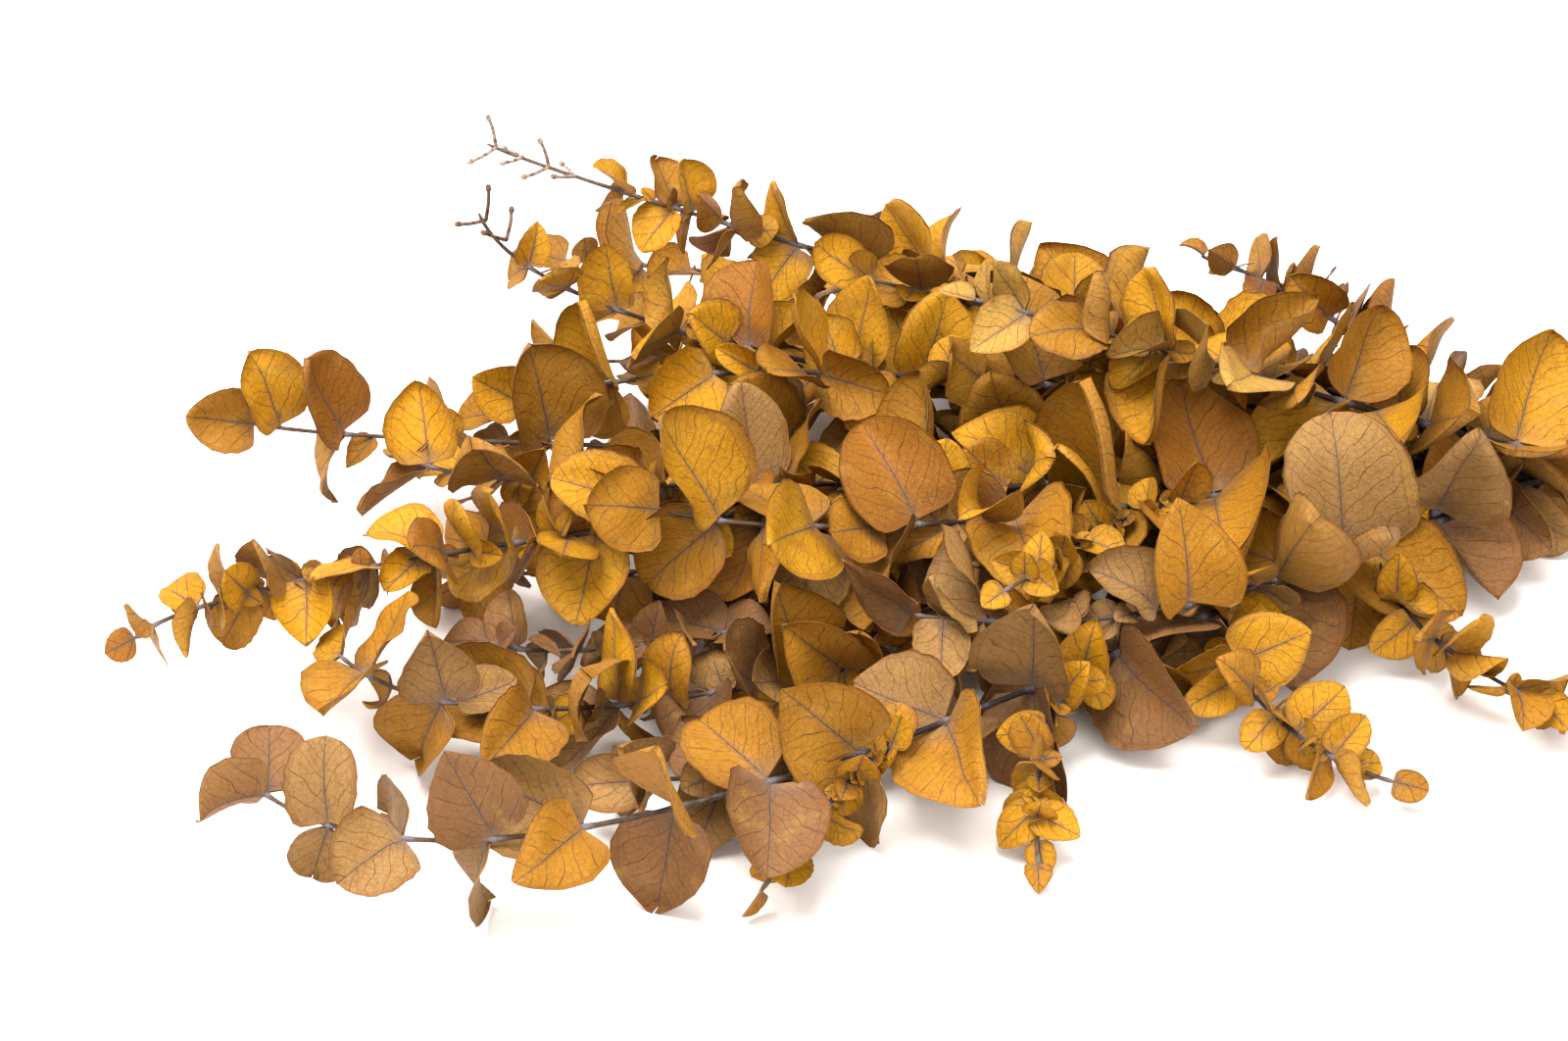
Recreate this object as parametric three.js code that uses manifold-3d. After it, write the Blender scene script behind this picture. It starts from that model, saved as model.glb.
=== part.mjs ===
// A bunch of dried eucalyptus lying on a flat surface: leafy stems held together near their cut ends
// by a twine tie, fanning out towards their tips at -X. The near side of the bunch faces -Y and the
// surface it lies on is z = 0. Lengths are millimetres, and angles are degrees where a name says so.
import * as THREE from 'three';
import { mergeVertices } from 'three/addons/utils/BufferGeometryUtils.js';
import Module from 'manifold-3d';

// The bundle of bare stems, from the cut ends to the neck where the stems begin to part.
const STEM_PITCH = 3.8;
const CUT_END = new THREE.Vector3(372, 6, 8.3);
const NECK = new THREE.Vector3(318, 6, 17);
const NECK_HANDLE = 80;
const CUT_STAGGER = 7;

// Stems are tapered tubes with few sides.
const STEM_BASE_RADIUS = 1.7;
const STEM_TIP_RADIUS = 0.8;
const SPRIG_BASE_RADIUS = 0.95;
const STEM_SIDES = 4;
const STEM_STEP = 36;
const SPRIG_STEP = 24;

// Leaves grow in opposite pairs, each pair turned a quarter against the last, with a gap between pairs
// that keeps step with the length of the leaves.
const BARE_FOOT = 92;
const BARE_SPRIG_FOOT = 12;
const PAIR_GAP = 0.82;
const SPRIG_GAP = 1.3;
const YOUNG_GROWTH = 2.8;
const LEAF_THICKNESS = 0.7;
const STALK_DEPTH = 0.9;
const ROOT_DEPTH = 0.4;
const LEAF_HALF_WIDTH = 0.46;
const LARGE_LEAF = 22;
const FLOOR_PRESS = 9;
const PRESSED_REACH = 0.3;

// Room kept between the blades, tested on points spread over each of them.
const SAMPLE_STEP = 2;
const CLEARANCE = 4;
const STEM_CLEARANCE = 3;
const ROOT_ROOM = 7;
const POSES_TRIED = 24;

// Dry twiglets left bare at the tip of a stem whose last leaves have dropped.
const TWIGLET_LENGTH = 13;
const TWIGLET_RADIUS = 0.55;
const TWIGLET_GAP = 11;

// The tie is a few turns of twine round the bundle.
const TWINE_RADIUS = 1.1;
const TIE_INNER_RADIUS = 9.9;
const TIE_PLACE = 0.6;
const TIE_TURNS = 3;
const TIE_SEGMENTS = 18;
const KNOT_RADIUS = 2.6;
const TAIL_REACH = 22;
const TAIL_DROP = 9;
const TAIL_SIDES = 5;

// Each stem: the slot of its foot in the bundle (across, up), the handle that bows it, its tip, the
// lengths of its largest and smallest leaf, the turn of its first pair, the share of the usual gap
// between its pairs, its pairs of bare twiglets and its sprigs. A sprig leaves its stem at a share of
// the stem's length and has a handle, a tip, leaves and a turn of its own. The leaves of a pressed
// stem lie flat under the bunch. Each leaf keeps clear of the leaves of the stems before it.
const STEMS = [
  {
    name: 'leafy_stem_centre', colour: '#c98a2b', slot: [-1.5, 1],
    bow: [25, -115, 52], tip: [-52, -86, 66], leaves: [50, 38], turn: 20, gap: 1, twiglets: 0,
    sprigs: [{ from: 0.5, bow: [95, -118, 62], tip: [76, -132, 60], leaves: [18, 13], turn: 0 }],
  },
  {
    name: 'leafy_stem_front', colour: '#b9833f', slot: [-1.5, -1],
    bow: [-75, -335, 34], tip: [-178, -216, 44], leaves: [48, 26], turn: 0, gap: 1, twiglets: 0,
    sprigs: [
      { from: 0.36, bow: [165, -170, 22], tip: [212, -174, 9], leaves: [27, 15], turn: 30 },
      { from: 0.6, bow: [5, -222, 22], tip: [-8, -232, 9], leaves: [18, 13], turn: 60 },
      { from: 0.47, bow: [85, -190, 24], tip: [86, -216, 6], leaves: [22, 12], turn: 10 },
    ],
  },
  {
    name: 'leafy_stem_top', colour: '#cf9440', slot: [-1, 2],
    bow: [190, -30, 82], tip: [70, -6, 102], leaves: [46, 16], turn: 40, gap: 1, twiglets: 0, sprigs: [],
  },
  {
    name: 'leafy_stem_back_curl', colour: '#c88d2c', slot: [0.5, 0.85],
    bow: [-88, 8, 52], tip: [-116, 45, 109], leaves: [48, 17], turn: 10, gap: 1, twiglets: 2, sprigs: [],
  },
  {
    name: 'leafy_stem_back_high', colour: '#d0922c', slot: [1, 2],
    bow: [-77, 104, 84], tip: [-116, 95, 111], leaves: [46, 18], turn: 55, gap: 1, twiglets: 4, sprigs: [],
  },
  {
    name: 'leafy_stem_left_low', colour: '#bd7f28', slot: [0.5, -1],
    bow: [-134, 2, 26], tip: [-198, -20, 56], leaves: [46, 31], turn: 0, gap: 1.25, twiglets: 0, sprigs: [],
  },
  {
    name: 'leafy_stem_left_middle', colour: '#c98a2a', slot: [0, 0],
    bow: [-84, -66, 42], tip: [-138, -55, 64], leaves: [46, 29], turn: 45, gap: 1, twiglets: 0, sprigs: [],
  },
  {
    name: 'leafy_stem_left_far', colour: '#d3982a', slot: [-0.5, 1],
    bow: [-190, -125, 80], tip: [-229, -130, 38], leaves: [46, 16], turn: 70, gap: 1, twiglets: 0, sprigs: [],
  },
  {
    name: 'leafy_stem_front_inner', colour: '#c58c33', slot: [-1, -2],
    bow: [-76, -205, 2], tip: [-154, -150, 46], leaves: [46, 32], turn: 0, gap: 1, twiglets: 0, sprigs: [],
  },
  {
    name: 'leafy_stem_rosy', colour: '#b07848', slot: [-1, 0],
    bow: [-56, -142, 17], tip: [-106, -120, 30], leaves: [42, 20], turn: 30, gap: 1.1, twiglets: 0, sprigs: [],
  },
  {
    name: 'leafy_stem_khaki', colour: '#b08b58', slot: [-2, 0],
    bow: [187, -139, 34], tip: [45, -132, 50], leaves: [52, 36], turn: 65, gap: 1, twiglets: 0,
    sprigs: [{ from: 0.42, bow: [222, -122, 26], tip: [282, -140, 10], leaves: [30, 15], turn: 0 }],
  },
  {
    name: 'leafy_stem_crown', colour: '#c2862c', slot: [0, 2],
    bow: [-34, 4, 92], tip: [-106, 5, 44], leaves: [46, 31], turn: 15, gap: 1.2, twiglets: 0, sprigs: [],
  },
  {
    name: 'leafy_stem_back_short', colour: '#a5661f', slot: [1.5, 1],
    bow: [240, 72, 46], tip: [165, 85, 66], leaves: [34, 13], turn: 35, gap: 1, twiglets: 0, sprigs: [],
  },
  {
    name: 'leafy_stem_back_crown', colour: '#cf9230', slot: [1, 0],
    bow: [125, 36, 62], tip: [30, 52, 76], leaves: [46, 28], turn: 5, gap: 1.3, twiglets: 0, sprigs: [],
  },
  {
    name: 'leafy_stem_front_low', colour: '#bb8434', slot: [-0.5, -1],
    bow: [75, -175, 8], tip: [-50, -186, 20], leaves: [46, 28], turn: 50, gap: 1, twiglets: 0, sprigs: [],
  },
  {
    name: 'leafy_stem_back_middle', colour: '#c58a2e', slot: [1.5, -1],
    bow: [70, 124, 34], tip: [-90, 135, 34], leaves: [46, 26], turn: 25, gap: 1.7, twiglets: 0, sprigs: [],
  },
  {
    name: 'leafy_stem_back_outer', colour: '#c18328', slot: [2, 0],
    bow: [138, 90, 42], tip: [20, 112, 44], leaves: [46, 26], turn: 75, gap: 1.5, twiglets: 0, sprigs: [],
  },
  {
    name: 'leafy_stem_back_low', colour: '#b87c26', slot: [1, -2],
    bow: [60, 72, 27], tip: [-82, 58, 34], leaves: [46, 28], turn: 45, gap: 1.8, twiglets: 0, sprigs: [],
  },
  {
    name: 'leafy_stem_under', colour: '#ad7424', slot: [0, -2], pressed: true,
    bow: [0, -62, 6], tip: [-120, -66, 22], leaves: [46, 28], turn: 90, gap: 1.9, twiglets: 0, sprigs: [],
  },
];

const wasm = await Module();
wasm.setup();

const UP = new THREE.Vector3(0, 0, 1);
const DEGREE = Math.PI / 180;
const ROW_PITCH = STEM_PITCH * Math.sin(60 * DEGREE);

// A repeatable draw between 0 and 1 for a key and a channel.
function draw(key, channel) {
  const wave = Math.sin(key * 12.9898 + channel * 78.233) * 43758.5453;
  return wave - Math.floor(wave);
}

function spread(key, channel, width) {
  return (draw(key, channel) - 0.5) * width;
}

// The direction at an angle in radians from one direction towards another that is square to it.
function between(from, towards, angle) {
  return from.clone().multiplyScalar(Math.cos(angle)).addScaledVector(towards, Math.sin(angle));
}

// ---------------------------------------------------------------- routes

// The route of a shoot, as the middle line of its tube: straight from its foot to the neck, one sweep
// to the tip, and straight again between the rings of the tube. A sprig has only the sweep.
function makeRoute(foot, neck, handle, bow, tip, step) {
  const sweep = new THREE.CubicBezierCurve3(neck, handle, bow, tip);
  const straightLength = foot.distanceTo(neck);
  const sweepLength = sweep.getLength();
  const length = straightLength + sweepLength;
  const pieces = Math.max(1, Math.round(sweepLength / step));
  const knots = straightLength > 0 ? [{ distance: 0, point: foot }] : [];
  for (let piece = 0; piece <= pieces; piece += 1) {
    const share = piece / pieces;
    knots.push({ distance: straightLength + sweepLength * share, point: sweep.getPointAt(share) });
  }
  function pointAt(distance) {
    const clamped = THREE.MathUtils.clamp(distance, 0, length);
    let index = 1;
    while (index < knots.length - 1 && knots[index].distance < clamped) index += 1;
    const [from, to] = [knots[index - 1], knots[index]];
    const share = (clamped - from.distance) / (to.distance - from.distance);
    return from.point.clone().lerp(to.point, share);
  }
  function frameAt(distance) {
    const tangent = pointAt(distance + 3).sub(pointAt(distance - 3)).normalize();
    const side = tangent.clone().cross(UP).normalize();
    const rise = side.clone().cross(tangent);
    return { tangent, side, rise };
  }
  return { length, knots, pointAt, frameAt };
}

function stemRoute(stem, order) {
  const along = NECK.clone().sub(CUT_END).normalize();
  const slot = new THREE.Vector3(0, stem.slot[0] * STEM_PITCH, stem.slot[1] * ROW_PITCH);
  const neck = NECK.clone().add(slot);
  const foot = CUT_END.clone().add(slot).addScaledVector(along, draw(order, 1) * CUT_STAGGER);
  const handle = neck.clone().addScaledVector(along, NECK_HANDLE);
  const bow = new THREE.Vector3(...stem.bow);
  return makeRoute(foot, neck, handle, bow, new THREE.Vector3(...stem.tip), STEM_STEP);
}

function sprigRoute(sprig, parent) {
  const distance = parent.length * sprig.from;
  const root = parent.pointAt(distance);
  const tip = new THREE.Vector3(...sprig.tip);
  const handle = root.clone().addScaledVector(parent.frameAt(distance).tangent, root.distanceTo(tip) / 3);
  return makeRoute(root, root, handle, new THREE.Vector3(...sprig.bow), tip, SPRIG_STEP);
}

// ---------------------------------------------------------------- solids

function toSolid(positions, triangles) {
  return new wasm.Manifold(
    new wasm.Mesh({
      numProp: 3,
      vertProperties: new Float32Array(positions),
      triVerts: new Uint32Array(triangles),
    }),
  );
}

function toGeometry(solid) {
  const mesh = solid.getMesh();
  const geometry = new THREE.BufferGeometry();
  geometry.setAttribute('position', new THREE.BufferAttribute(mesh.vertProperties, 3));
  geometry.setIndex(new THREE.BufferAttribute(mesh.triVerts, 1));
  return geometry;
}

// A tapered tube with a ring at each knot of its route, closed at both ends.
function makeTube(route, startRadius, endRadius, sides) {
  const rings = route.knots.length;
  const positions = [];
  const triangles = [];
  for (const { distance, point } of route.knots) {
    const { side, rise } = route.frameAt(distance);
    const radius = THREE.MathUtils.lerp(startRadius, endRadius, distance / route.length);
    for (let corner = 0; corner < sides; corner += 1) {
      const outward = between(side, rise, (corner / sides) * 2 * Math.PI);
      positions.push(...point.clone().addScaledVector(outward, radius).toArray());
    }
  }
  for (let ring = 0; ring < rings - 1; ring += 1) {
    for (let corner = 0; corner < sides; corner += 1) {
      const next = (corner + 1) % sides;
      const a = ring * sides + corner;
      const b = ring * sides + next;
      triangles.push(a, a + sides, b, b, a + sides, b + sides);
    }
  }
  const last = (rings - 1) * sides;
  for (let corner = 1; corner < sides - 1; corner += 1) {
    triangles.push(0, corner, corner + 1);
    triangles.push(last, last + corner + 1, last + corner);
  }
  return toSolid(positions, triangles);
}

// ---------------------------------------------------------------- leaves

// Corners of a blade as [share of the length, share of the half width]. The rim runs round from the
// root, which is one point sunk in the stem, over the short stalk to the tip and back. A large blade
// has one more point on its midrib.
const LARGE_RIM = [
  [0, 0], [0.08, 0.07], [0.24, 0.92], [0.68, 0.82],
  [1, 0], [0.68, -0.82], [0.24, -0.92], [0.08, -0.07],
];
const SMALL_RIM = [[0, 0], [0.1, 0.12], [0.5, 1], [1, 0], [0.5, -1], [0.1, -0.12]];
const MIDRIB = [0.45, 0];

// The way a leaf is held, from its place on the stem. The first attempt is the natural one, and each
// later attempt strays further from it and is a little smaller.
function leafPose(route, plan, attempt) {
  const { key, distance, azimuth, size } = plan;
  const { tangent, side, rise } = route.frameAt(distance);
  const stray = attempt * 9;
  const channel = attempt * 10;
  const turn = (azimuth + spread(key, channel + 1, 40 + stray)) * DEGREE;
  const opening = (plan.opening + spread(key, channel + 2, 36 + stray)) * DEGREE;
  const outward = between(rise, side, turn);
  const axis = between(tangent, outward, opening);
  const root = route.pointAt(distance);
  if (plan.pressed) axis.setZ(-root.z / (PRESSED_REACH * size)).normalize();
  root.addScaledVector(axis, -ROOT_DEPTH * plan.stemRadius);

  // The upper face turns to the tip of the stem as it grew, or up and to the near side where the leaf
  // settled on those below.
  const grown = between(outward.clone().negate(), tangent, opening);
  const tilted = new THREE.Vector3(0, root.y / 400 - 0.3, 0.8);
  tilted.x = spread(key, channel + 3, 1.1);
  tilted.y += spread(key, channel + 4, 1);
  tilted.addScaledVector(axis, -tilted.dot(axis)).normalize();
  const share = draw(key, channel + 5) < 0.7 ? 0.9 : 0.25;
  const normal = plan.pressed ? UP.clone() : grown.lerp(tilted, share);
  normal.addScaledVector(axis, -normal.dot(axis)).normalize();
  return {
    root,
    axis,
    normal,
    across: axis.clone().cross(normal),
    length: size * (1 - 0.012 * attempt),
    halfWidth: size * (LEAF_HALF_WIDTH + spread(key, 6, 0.08)) * (1 - 0.012 * attempt),
    bend: -0.25 + spread(key, 7, plan.pressed ? 0.2 : 1.1),
    twist: plan.pressed ? 0 : spread(key, 8, 0.7),
    fold: plan.pressed ? 0 : 0.1 + 0.4 * draw(key, 9),
    cup: plan.pressed ? 0 : 0.02 + 0.2 * draw(key, 10),
  };
}

// A point of the blade's middle surface and the normal there. The midrib bends as an arc, the two
// halves fold up from it, and what would sink into the surface below is pressed flat on it.
function bladePoint(pose, lengthShare, widthShare) {
  const arc = pose.bend * lengthShare;
  const reach = (Math.sin(arc) / pose.bend) * pose.length;
  const lift = ((1 - Math.cos(arc)) / pose.bend) * pose.length;
  const facing = between(pose.normal, pose.axis, -arc);
  const roll = pose.twist * lengthShare;
  const across = between(pose.across, facing, roll);
  const upward = between(facing, pose.across, -roll);
  const offset = widthShare * pose.halfWidth;
  const slope = pose.fold + 2 * pose.cup * Math.abs(widthShare);
  const point = pose.root.clone().addScaledVector(pose.axis, reach).addScaledVector(pose.normal, lift);
  point.addScaledVector(across, offset * Math.cos(pose.fold));
  point.addScaledVector(upward, Math.abs(offset) * (Math.sin(pose.fold) + pose.cup * Math.abs(widthShare)));
  const normal = between(upward, across, -Math.sign(widthShare) * slope).normalize();
  const sunk = LEAF_THICKNESS / 2 - point.z;
  if (sunk > 0) {
    point.z = LEAF_THICKNESS / 2;
    normal.set(0, 0, normal.z < 0 ? -1 : 1);
  }
  return { point, normal, sunk };
}

// A blade's corners, and the triangles of its middle surface: one across the stalk, then a fan round
// the point on the midrib, or round the tip of a small blade.
function makeBlade(pose) {
  const large = pose.length > LARGE_LEAF;
  const rim = large ? LARGE_RIM : SMALL_RIM;
  const corners = (large ? [...rim, MIDRIB] : rim).map(([u, w]) => bladePoint(pose, u, w));
  const last = rim.length - 1;
  const centre = large ? rim.length : rim.length / 2;
  const faces = [[0, 1, last], [1, centre, last]];
  for (let corner = 1; corner < last; corner += 1) {
    if (corner !== centre && corner + 1 !== centre) faces.push([corner, corner + 1, centre]);
  }
  return { corners, faces, last };
}

// The closed solid of a blade. Both faces are split alike and meet in the root, a strip closes the
// rim, and the stalk is three-sided: its two upper corners share one lower corner.
function bladeSolid({ corners, faces, last }) {
  const positions = corners[0].point.toArray();
  const upper = [0];
  const lower = [0];
  const keel = corners[1].point.clone().lerp(corners[last].point, 0.5);
  keel.addScaledVector(corners[1].normal, -STALK_DEPTH);
  corners.forEach(({ point, normal }, index) => {
    if (index === 0) return;
    upper.push(positions.length / 3);
    positions.push(...point.clone().addScaledVector(normal, LEAF_THICKNESS / 2).toArray());
    if (index === last) {
      lower.push(lower[1]);
      return;
    }
    const under = index === 1 ? keel : point.clone().addScaledVector(normal, -LEAF_THICKNESS / 2);
    lower.push(positions.length / 3);
    positions.push(...under.toArray());
  });
  const triangles = [];
  for (const [a, b, c] of faces) {
    triangles.push(upper[a], upper[c], upper[b]);
    if (lower[b] !== lower[c] && lower[a] !== lower[c]) triangles.push(lower[a], lower[b], lower[c]);
  }
  for (let corner = 0; corner <= last; corner += 1) {
    const next = corner === last ? 0 : corner + 1;
    if (corner !== 0) triangles.push(upper[corner], lower[next], lower[corner]);
    if (next !== 0) triangles.push(upper[corner], upper[next], lower[next]);
  }
  const solid = toSolid(positions, triangles);
  return solid.volume() < 0 ? toSolid(positions, triangles.reverse()) : solid;
}

// Points spread over a blade, each with its distance from the root.
function bladeSamples(blade, root) {
  const samples = [];
  for (const face of blade.faces) {
    const [a, b, c] = face.map((corner) => blade.corners[corner].point);
    const longest = Math.max(a.distanceTo(b), b.distanceTo(c), c.distanceTo(a));
    const steps = Math.ceil(longest / SAMPLE_STEP);
    for (let i = 0; i <= steps; i += 1) {
      for (let j = 0; j <= steps - i; j += 1) {
        const point = a.clone().multiplyScalar((steps - i - j) / steps);
        point.addScaledVector(b, i / steps).addScaledVector(c, j / steps);
        samples.push({ point, fromRoot: point.distanceTo(root) });
      }
    }
  }
  return samples;
}

// ---------------------------------------------------------------- room between the pieces

const taken = new Map();

function cellKey(x, y, z) {
  return (x + 512) * 1048576 + (y + 512) * 1024 + z + 512;
}

function take(point, owner, isStem) {
  const [x, y, z] = point.toArray().map((value) => Math.floor(value / CLEARANCE));
  const key = cellKey(x, y, z);
  if (!taken.has(key)) taken.set(key, []);
  taken.get(key).push({ point, owner, isStem });
}

// Whether a point lies too close to another piece. Next to its own root a leaf may meet its own stem
// and the leaf opposite, and it may touch its own stem anywhere.
function crowded(sample, owner) {
  const [x, y, z] = sample.point.toArray().map((value) => Math.floor(value / CLEARANCE));
  for (let i = x - 1; i <= x + 1; i += 1) {
    for (let j = y - 1; j <= y + 1; j += 1) {
      for (let k = z - 1; k <= z + 1; k += 1) {
        for (const other of taken.get(cellKey(i, j, k)) ?? []) {
          const own = other.owner === owner;
          if (own && (other.isStem || sample.fromRoot < ROOT_ROOM)) continue;
          const room = other.isStem ? STEM_CLEARANCE : CLEARANCE;
          if (other.point.distanceTo(sample.point) < room) return true;
        }
      }
    }
  }
  return false;
}

function takeRoute(route, radius, owner) {
  for (let distance = 0; distance <= route.length; distance += SAMPLE_STEP) {
    const centre = route.pointAt(distance);
    const { side, rise } = route.frameAt(distance);
    for (let angle = 0; angle < 360; angle += 60) {
      take(centre.clone().addScaledVector(between(side, rise, angle * DEGREE), radius), owner, true);
    }
  }
}

// ---------------------------------------------------------------- leafy stems

// Where the leaves of a shoot stand: pairs whose gap shrinks towards the tip, and one leaf at the tip.
function leafPlans(shoot, key) {
  const { route, footRadius, bareFoot, gapShare, twiglets, leaves, turn, pressed } = shoot;
  const plans = [];
  const leafyEnd = route.length - twiglets * TWIGLET_GAP;
  let distance = bareFoot;
  let pair = 0;
  while (distance < leafyEnd - 3) {
    const share = (distance - bareFoot) / (leafyEnd - bareFoot);
    const length = THREE.MathUtils.lerp(leaves[0], leaves[1], share ** YOUNG_GROWTH);
    for (const opposite of [0, 1]) {
      const leafKey = key + pair * 2 + opposite;
      plans.push({
        key: leafKey,
        distance: distance + spread(leafKey, 11, 2),
        azimuth: turn + pair * (pressed ? 180 : 90) + opposite * 180,
        opening: THREE.MathUtils.lerp(110, 62, Math.min(1, share * 1.8)),
        size: length * (0.86 + 0.26 * draw(leafKey, 12)),
        stemRadius: THREE.MathUtils.lerp(footRadius, STEM_TIP_RADIUS, distance / route.length),
        pressed,
      });
    }
    distance += length * PAIR_GAP * gapShare;
    pair += 1;
  }
  if (twiglets === 0) {
    plans.push({
      key: key + pair * 2,
      distance: route.length - 1,
      azimuth: turn,
      opening: 14,
      size: leaves[1] * 0.9,
      stemRadius: STEM_TIP_RADIUS,
    });
  }
  return plans;
}

function growStem(stem, order) {
  const main = {
    route: stemRoute(stem, order),
    footRadius: STEM_BASE_RADIUS,
    bareFoot: BARE_FOOT,
    gapShare: stem.gap,
    twiglets: stem.twiglets,
    leaves: stem.leaves,
    turn: stem.turn,
    pressed: stem.pressed,
  };
  const sprigs = stem.sprigs.map((sprig) => ({
    route: sprigRoute(sprig, main.route),
    footRadius: SPRIG_BASE_RADIUS,
    bareFoot: BARE_SPRIG_FOOT,
    gapShare: SPRIG_GAP,
    twiglets: 0,
    leaves: sprig.leaves,
    turn: sprig.turn,
  }));
  return [main, ...sprigs].map((shoot, index) => ({
    ...shoot,
    plans: leafPlans(shoot, order * 1000 + index * 200),
  }));
}

// The first pose of a leaf that is clear of everything placed before it, or nothing.
function placeLeaf(route, plan, owner) {
  for (let attempt = 0; attempt < POSES_TRIED; attempt += 1) {
    const pose = leafPose(route, plan, attempt);
    const blade = makeBlade(pose);
    if (!plan.pressed && blade.corners.some((corner) => corner.sunk > FLOOR_PRESS)) continue;
    const samples = bladeSamples(blade, pose.root);
    if (samples.some((sample) => crowded(sample, owner))) continue;
    samples.forEach((sample) => take(sample.point, owner, false));
    return bladeSolid(blade);
  }
  return null;
}

// Bare side twiglets in pairs on the last stretch of a stem.
function makeTwiglets(route, count, key) {
  const solids = [];
  for (let index = 0; index < count * 2; index += 1) {
    const distance = route.length - TWIGLET_GAP * (0.35 + Math.floor(index / 2));
    const { tangent, side, rise } = route.frameAt(distance);
    const turn = (index * 180 + Math.floor(index / 2) * 90 + spread(key, index, 60)) * DEGREE;
    const outward = between(rise, side, turn);
    const root = route.pointAt(distance);
    const end = root.clone().addScaledVector(outward, TWIGLET_LENGTH);
    end.addScaledVector(tangent, TWIGLET_LENGTH * 0.6);
    const middle = root.clone().lerp(end, 0.5).addScaledVector(outward, 1.5);
    const twiglet = makeRoute(root, root, middle, middle, end, TWIGLET_LENGTH);
    solids.push(makeTube(twiglet, TWIGLET_RADIUS, TWIGLET_RADIUS * 0.8, STEM_SIDES));
  }
  return solids;
}

const grown = STEMS.map((stem, order) => growStem(stem, order + 1));
grown.forEach((shoots, owner) => {
  shoots.forEach((shoot) => takeRoute(shoot.route, shoot.footRadius, owner));
});

function makeLeafyStem(stem, owner) {
  const solids = [];
  for (const { route, footRadius, twiglets, plans } of grown[owner]) {
    solids.push(makeTube(route, footRadius, STEM_TIP_RADIUS, STEM_SIDES));
    solids.push(...makeTwiglets(route, twiglets, owner));
    solids.push(...plans.map((plan) => placeLeaf(route, plan, owner)).filter(Boolean));
  }
  const material = new THREE.MeshStandardMaterial({ color: stem.colour, roughness: 0.75, metalness: 0 });
  const mesh = new THREE.Mesh(toGeometry(solids.reduce((whole, piece) => whole.add(piece))), material);
  mesh.name = stem.name;
  return mesh;
}

// ---------------------------------------------------------------- tie

// A ring whose outer side shows the turns of the twine, turned round the y axis.
function makeTurns() {
  const profile = [new THREE.Vector2(TIE_INNER_RADIUS, 0)];
  for (let turn = 0; turn < TIE_TURNS; turn += 1) {
    const low = turn * 2 * TWINE_RADIUS;
    profile.push(new THREE.Vector2(TIE_INNER_RADIUS + TWINE_RADIUS, low));
    profile.push(new THREE.Vector2(TIE_INNER_RADIUS + 2 * TWINE_RADIUS, low + TWINE_RADIUS));
  }
  const width = TIE_TURNS * 2 * TWINE_RADIUS;
  profile.push(new THREE.Vector2(TIE_INNER_RADIUS + TWINE_RADIUS, width));
  profile.push(new THREE.Vector2(TIE_INNER_RADIUS, width));
  profile.push(profile[0].clone());
  const ring = new THREE.LatheGeometry(profile, TIE_SEGMENTS);
  ring.translate(0, -width / 2, 0);
  return ring;
}

// A closed three.js geometry as a solid.
function geometrySolid(geometry) {
  geometry.deleteAttribute('normal');
  geometry.deleteAttribute('uv');
  const merged = mergeVertices(geometry, 1e-3);
  return toSolid(merged.attributes.position.array, merged.index.array);
}

function makeTie() {
  const along = NECK.clone().sub(CUT_END).normalize();
  const centre = CUT_END.clone().lerp(NECK, TIE_PLACE);
  const turned = new THREE.Quaternion().setFromUnitVectors(new THREE.Vector3(0, 1, 0), along);
  const turns = makeTurns().applyQuaternion(turned).translate(...centre.toArray());
  const knotCentre = centre.clone().addScaledVector(UP, TIE_INNER_RADIUS + 1.6 * TWINE_RADIUS);
  const knot = new THREE.IcosahedronGeometry(KNOT_RADIUS).scale(1, 1.2, 0.8);
  knot.translate(...knotCentre.toArray());
  const tails = [-1, 1].map((way) => {
    const reach = new THREE.Vector3(way * TAIL_REACH * 0.3, way * TAIL_REACH, -TAIL_DROP);
    const rise = new THREE.Vector3(way * 2, way * TAIL_REACH * 0.6, TAIL_DROP * 0.4);
    const bow = knotCentre.clone().add(rise);
    const route = makeRoute(knotCentre, knotCentre, bow, bow, knotCentre.clone().add(reach), TAIL_REACH / 3);
    return makeTube(route, TWINE_RADIUS, TWINE_RADIUS, TAIL_SIDES);
  });
  const pieces = [geometrySolid(turns), geometrySolid(knot), ...tails];
  const material = new THREE.MeshStandardMaterial({ color: '#b79a6b', roughness: 0.9, metalness: 0 });
  const mesh = new THREE.Mesh(toGeometry(pieces.reduce((whole, piece) => whole.add(piece))), material);
  mesh.name = 'twine_tie';
  return mesh;
}

// ---------------------------------------------------------------- the bunch

// The part's origin is under the middle of the bunch, on the surface it lies on.
const bunch = new THREE.Group();
STEMS.forEach((stem, owner) => bunch.add(makeLeafyStem(stem, owner)));
bunch.add(makeTie());
const bounds = new THREE.Box3().setFromObject(bunch);
const middle = bounds.getCenter(new THREE.Vector3());
bunch.position.set(-middle.x, -middle.y, -bounds.min.z);

export default bunch;
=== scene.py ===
"""A bunch of dried eucalyptus lying on a white surface, dressed round its CAD frame.

The leaves of the frame are found again from the rule that placed them and are rebuilt as thin, veined
blades. Further leaves fill the bunch, each clear of those before it. Until the meshes are made, lengths
are millimetres in the coordinates that the stems are laid out in: the near side of the bunch faces -Y,
the tips point to -X and the surface below is z = 0.
"""

import math

import bpy
import numpy as np
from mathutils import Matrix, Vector, kdtree


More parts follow.
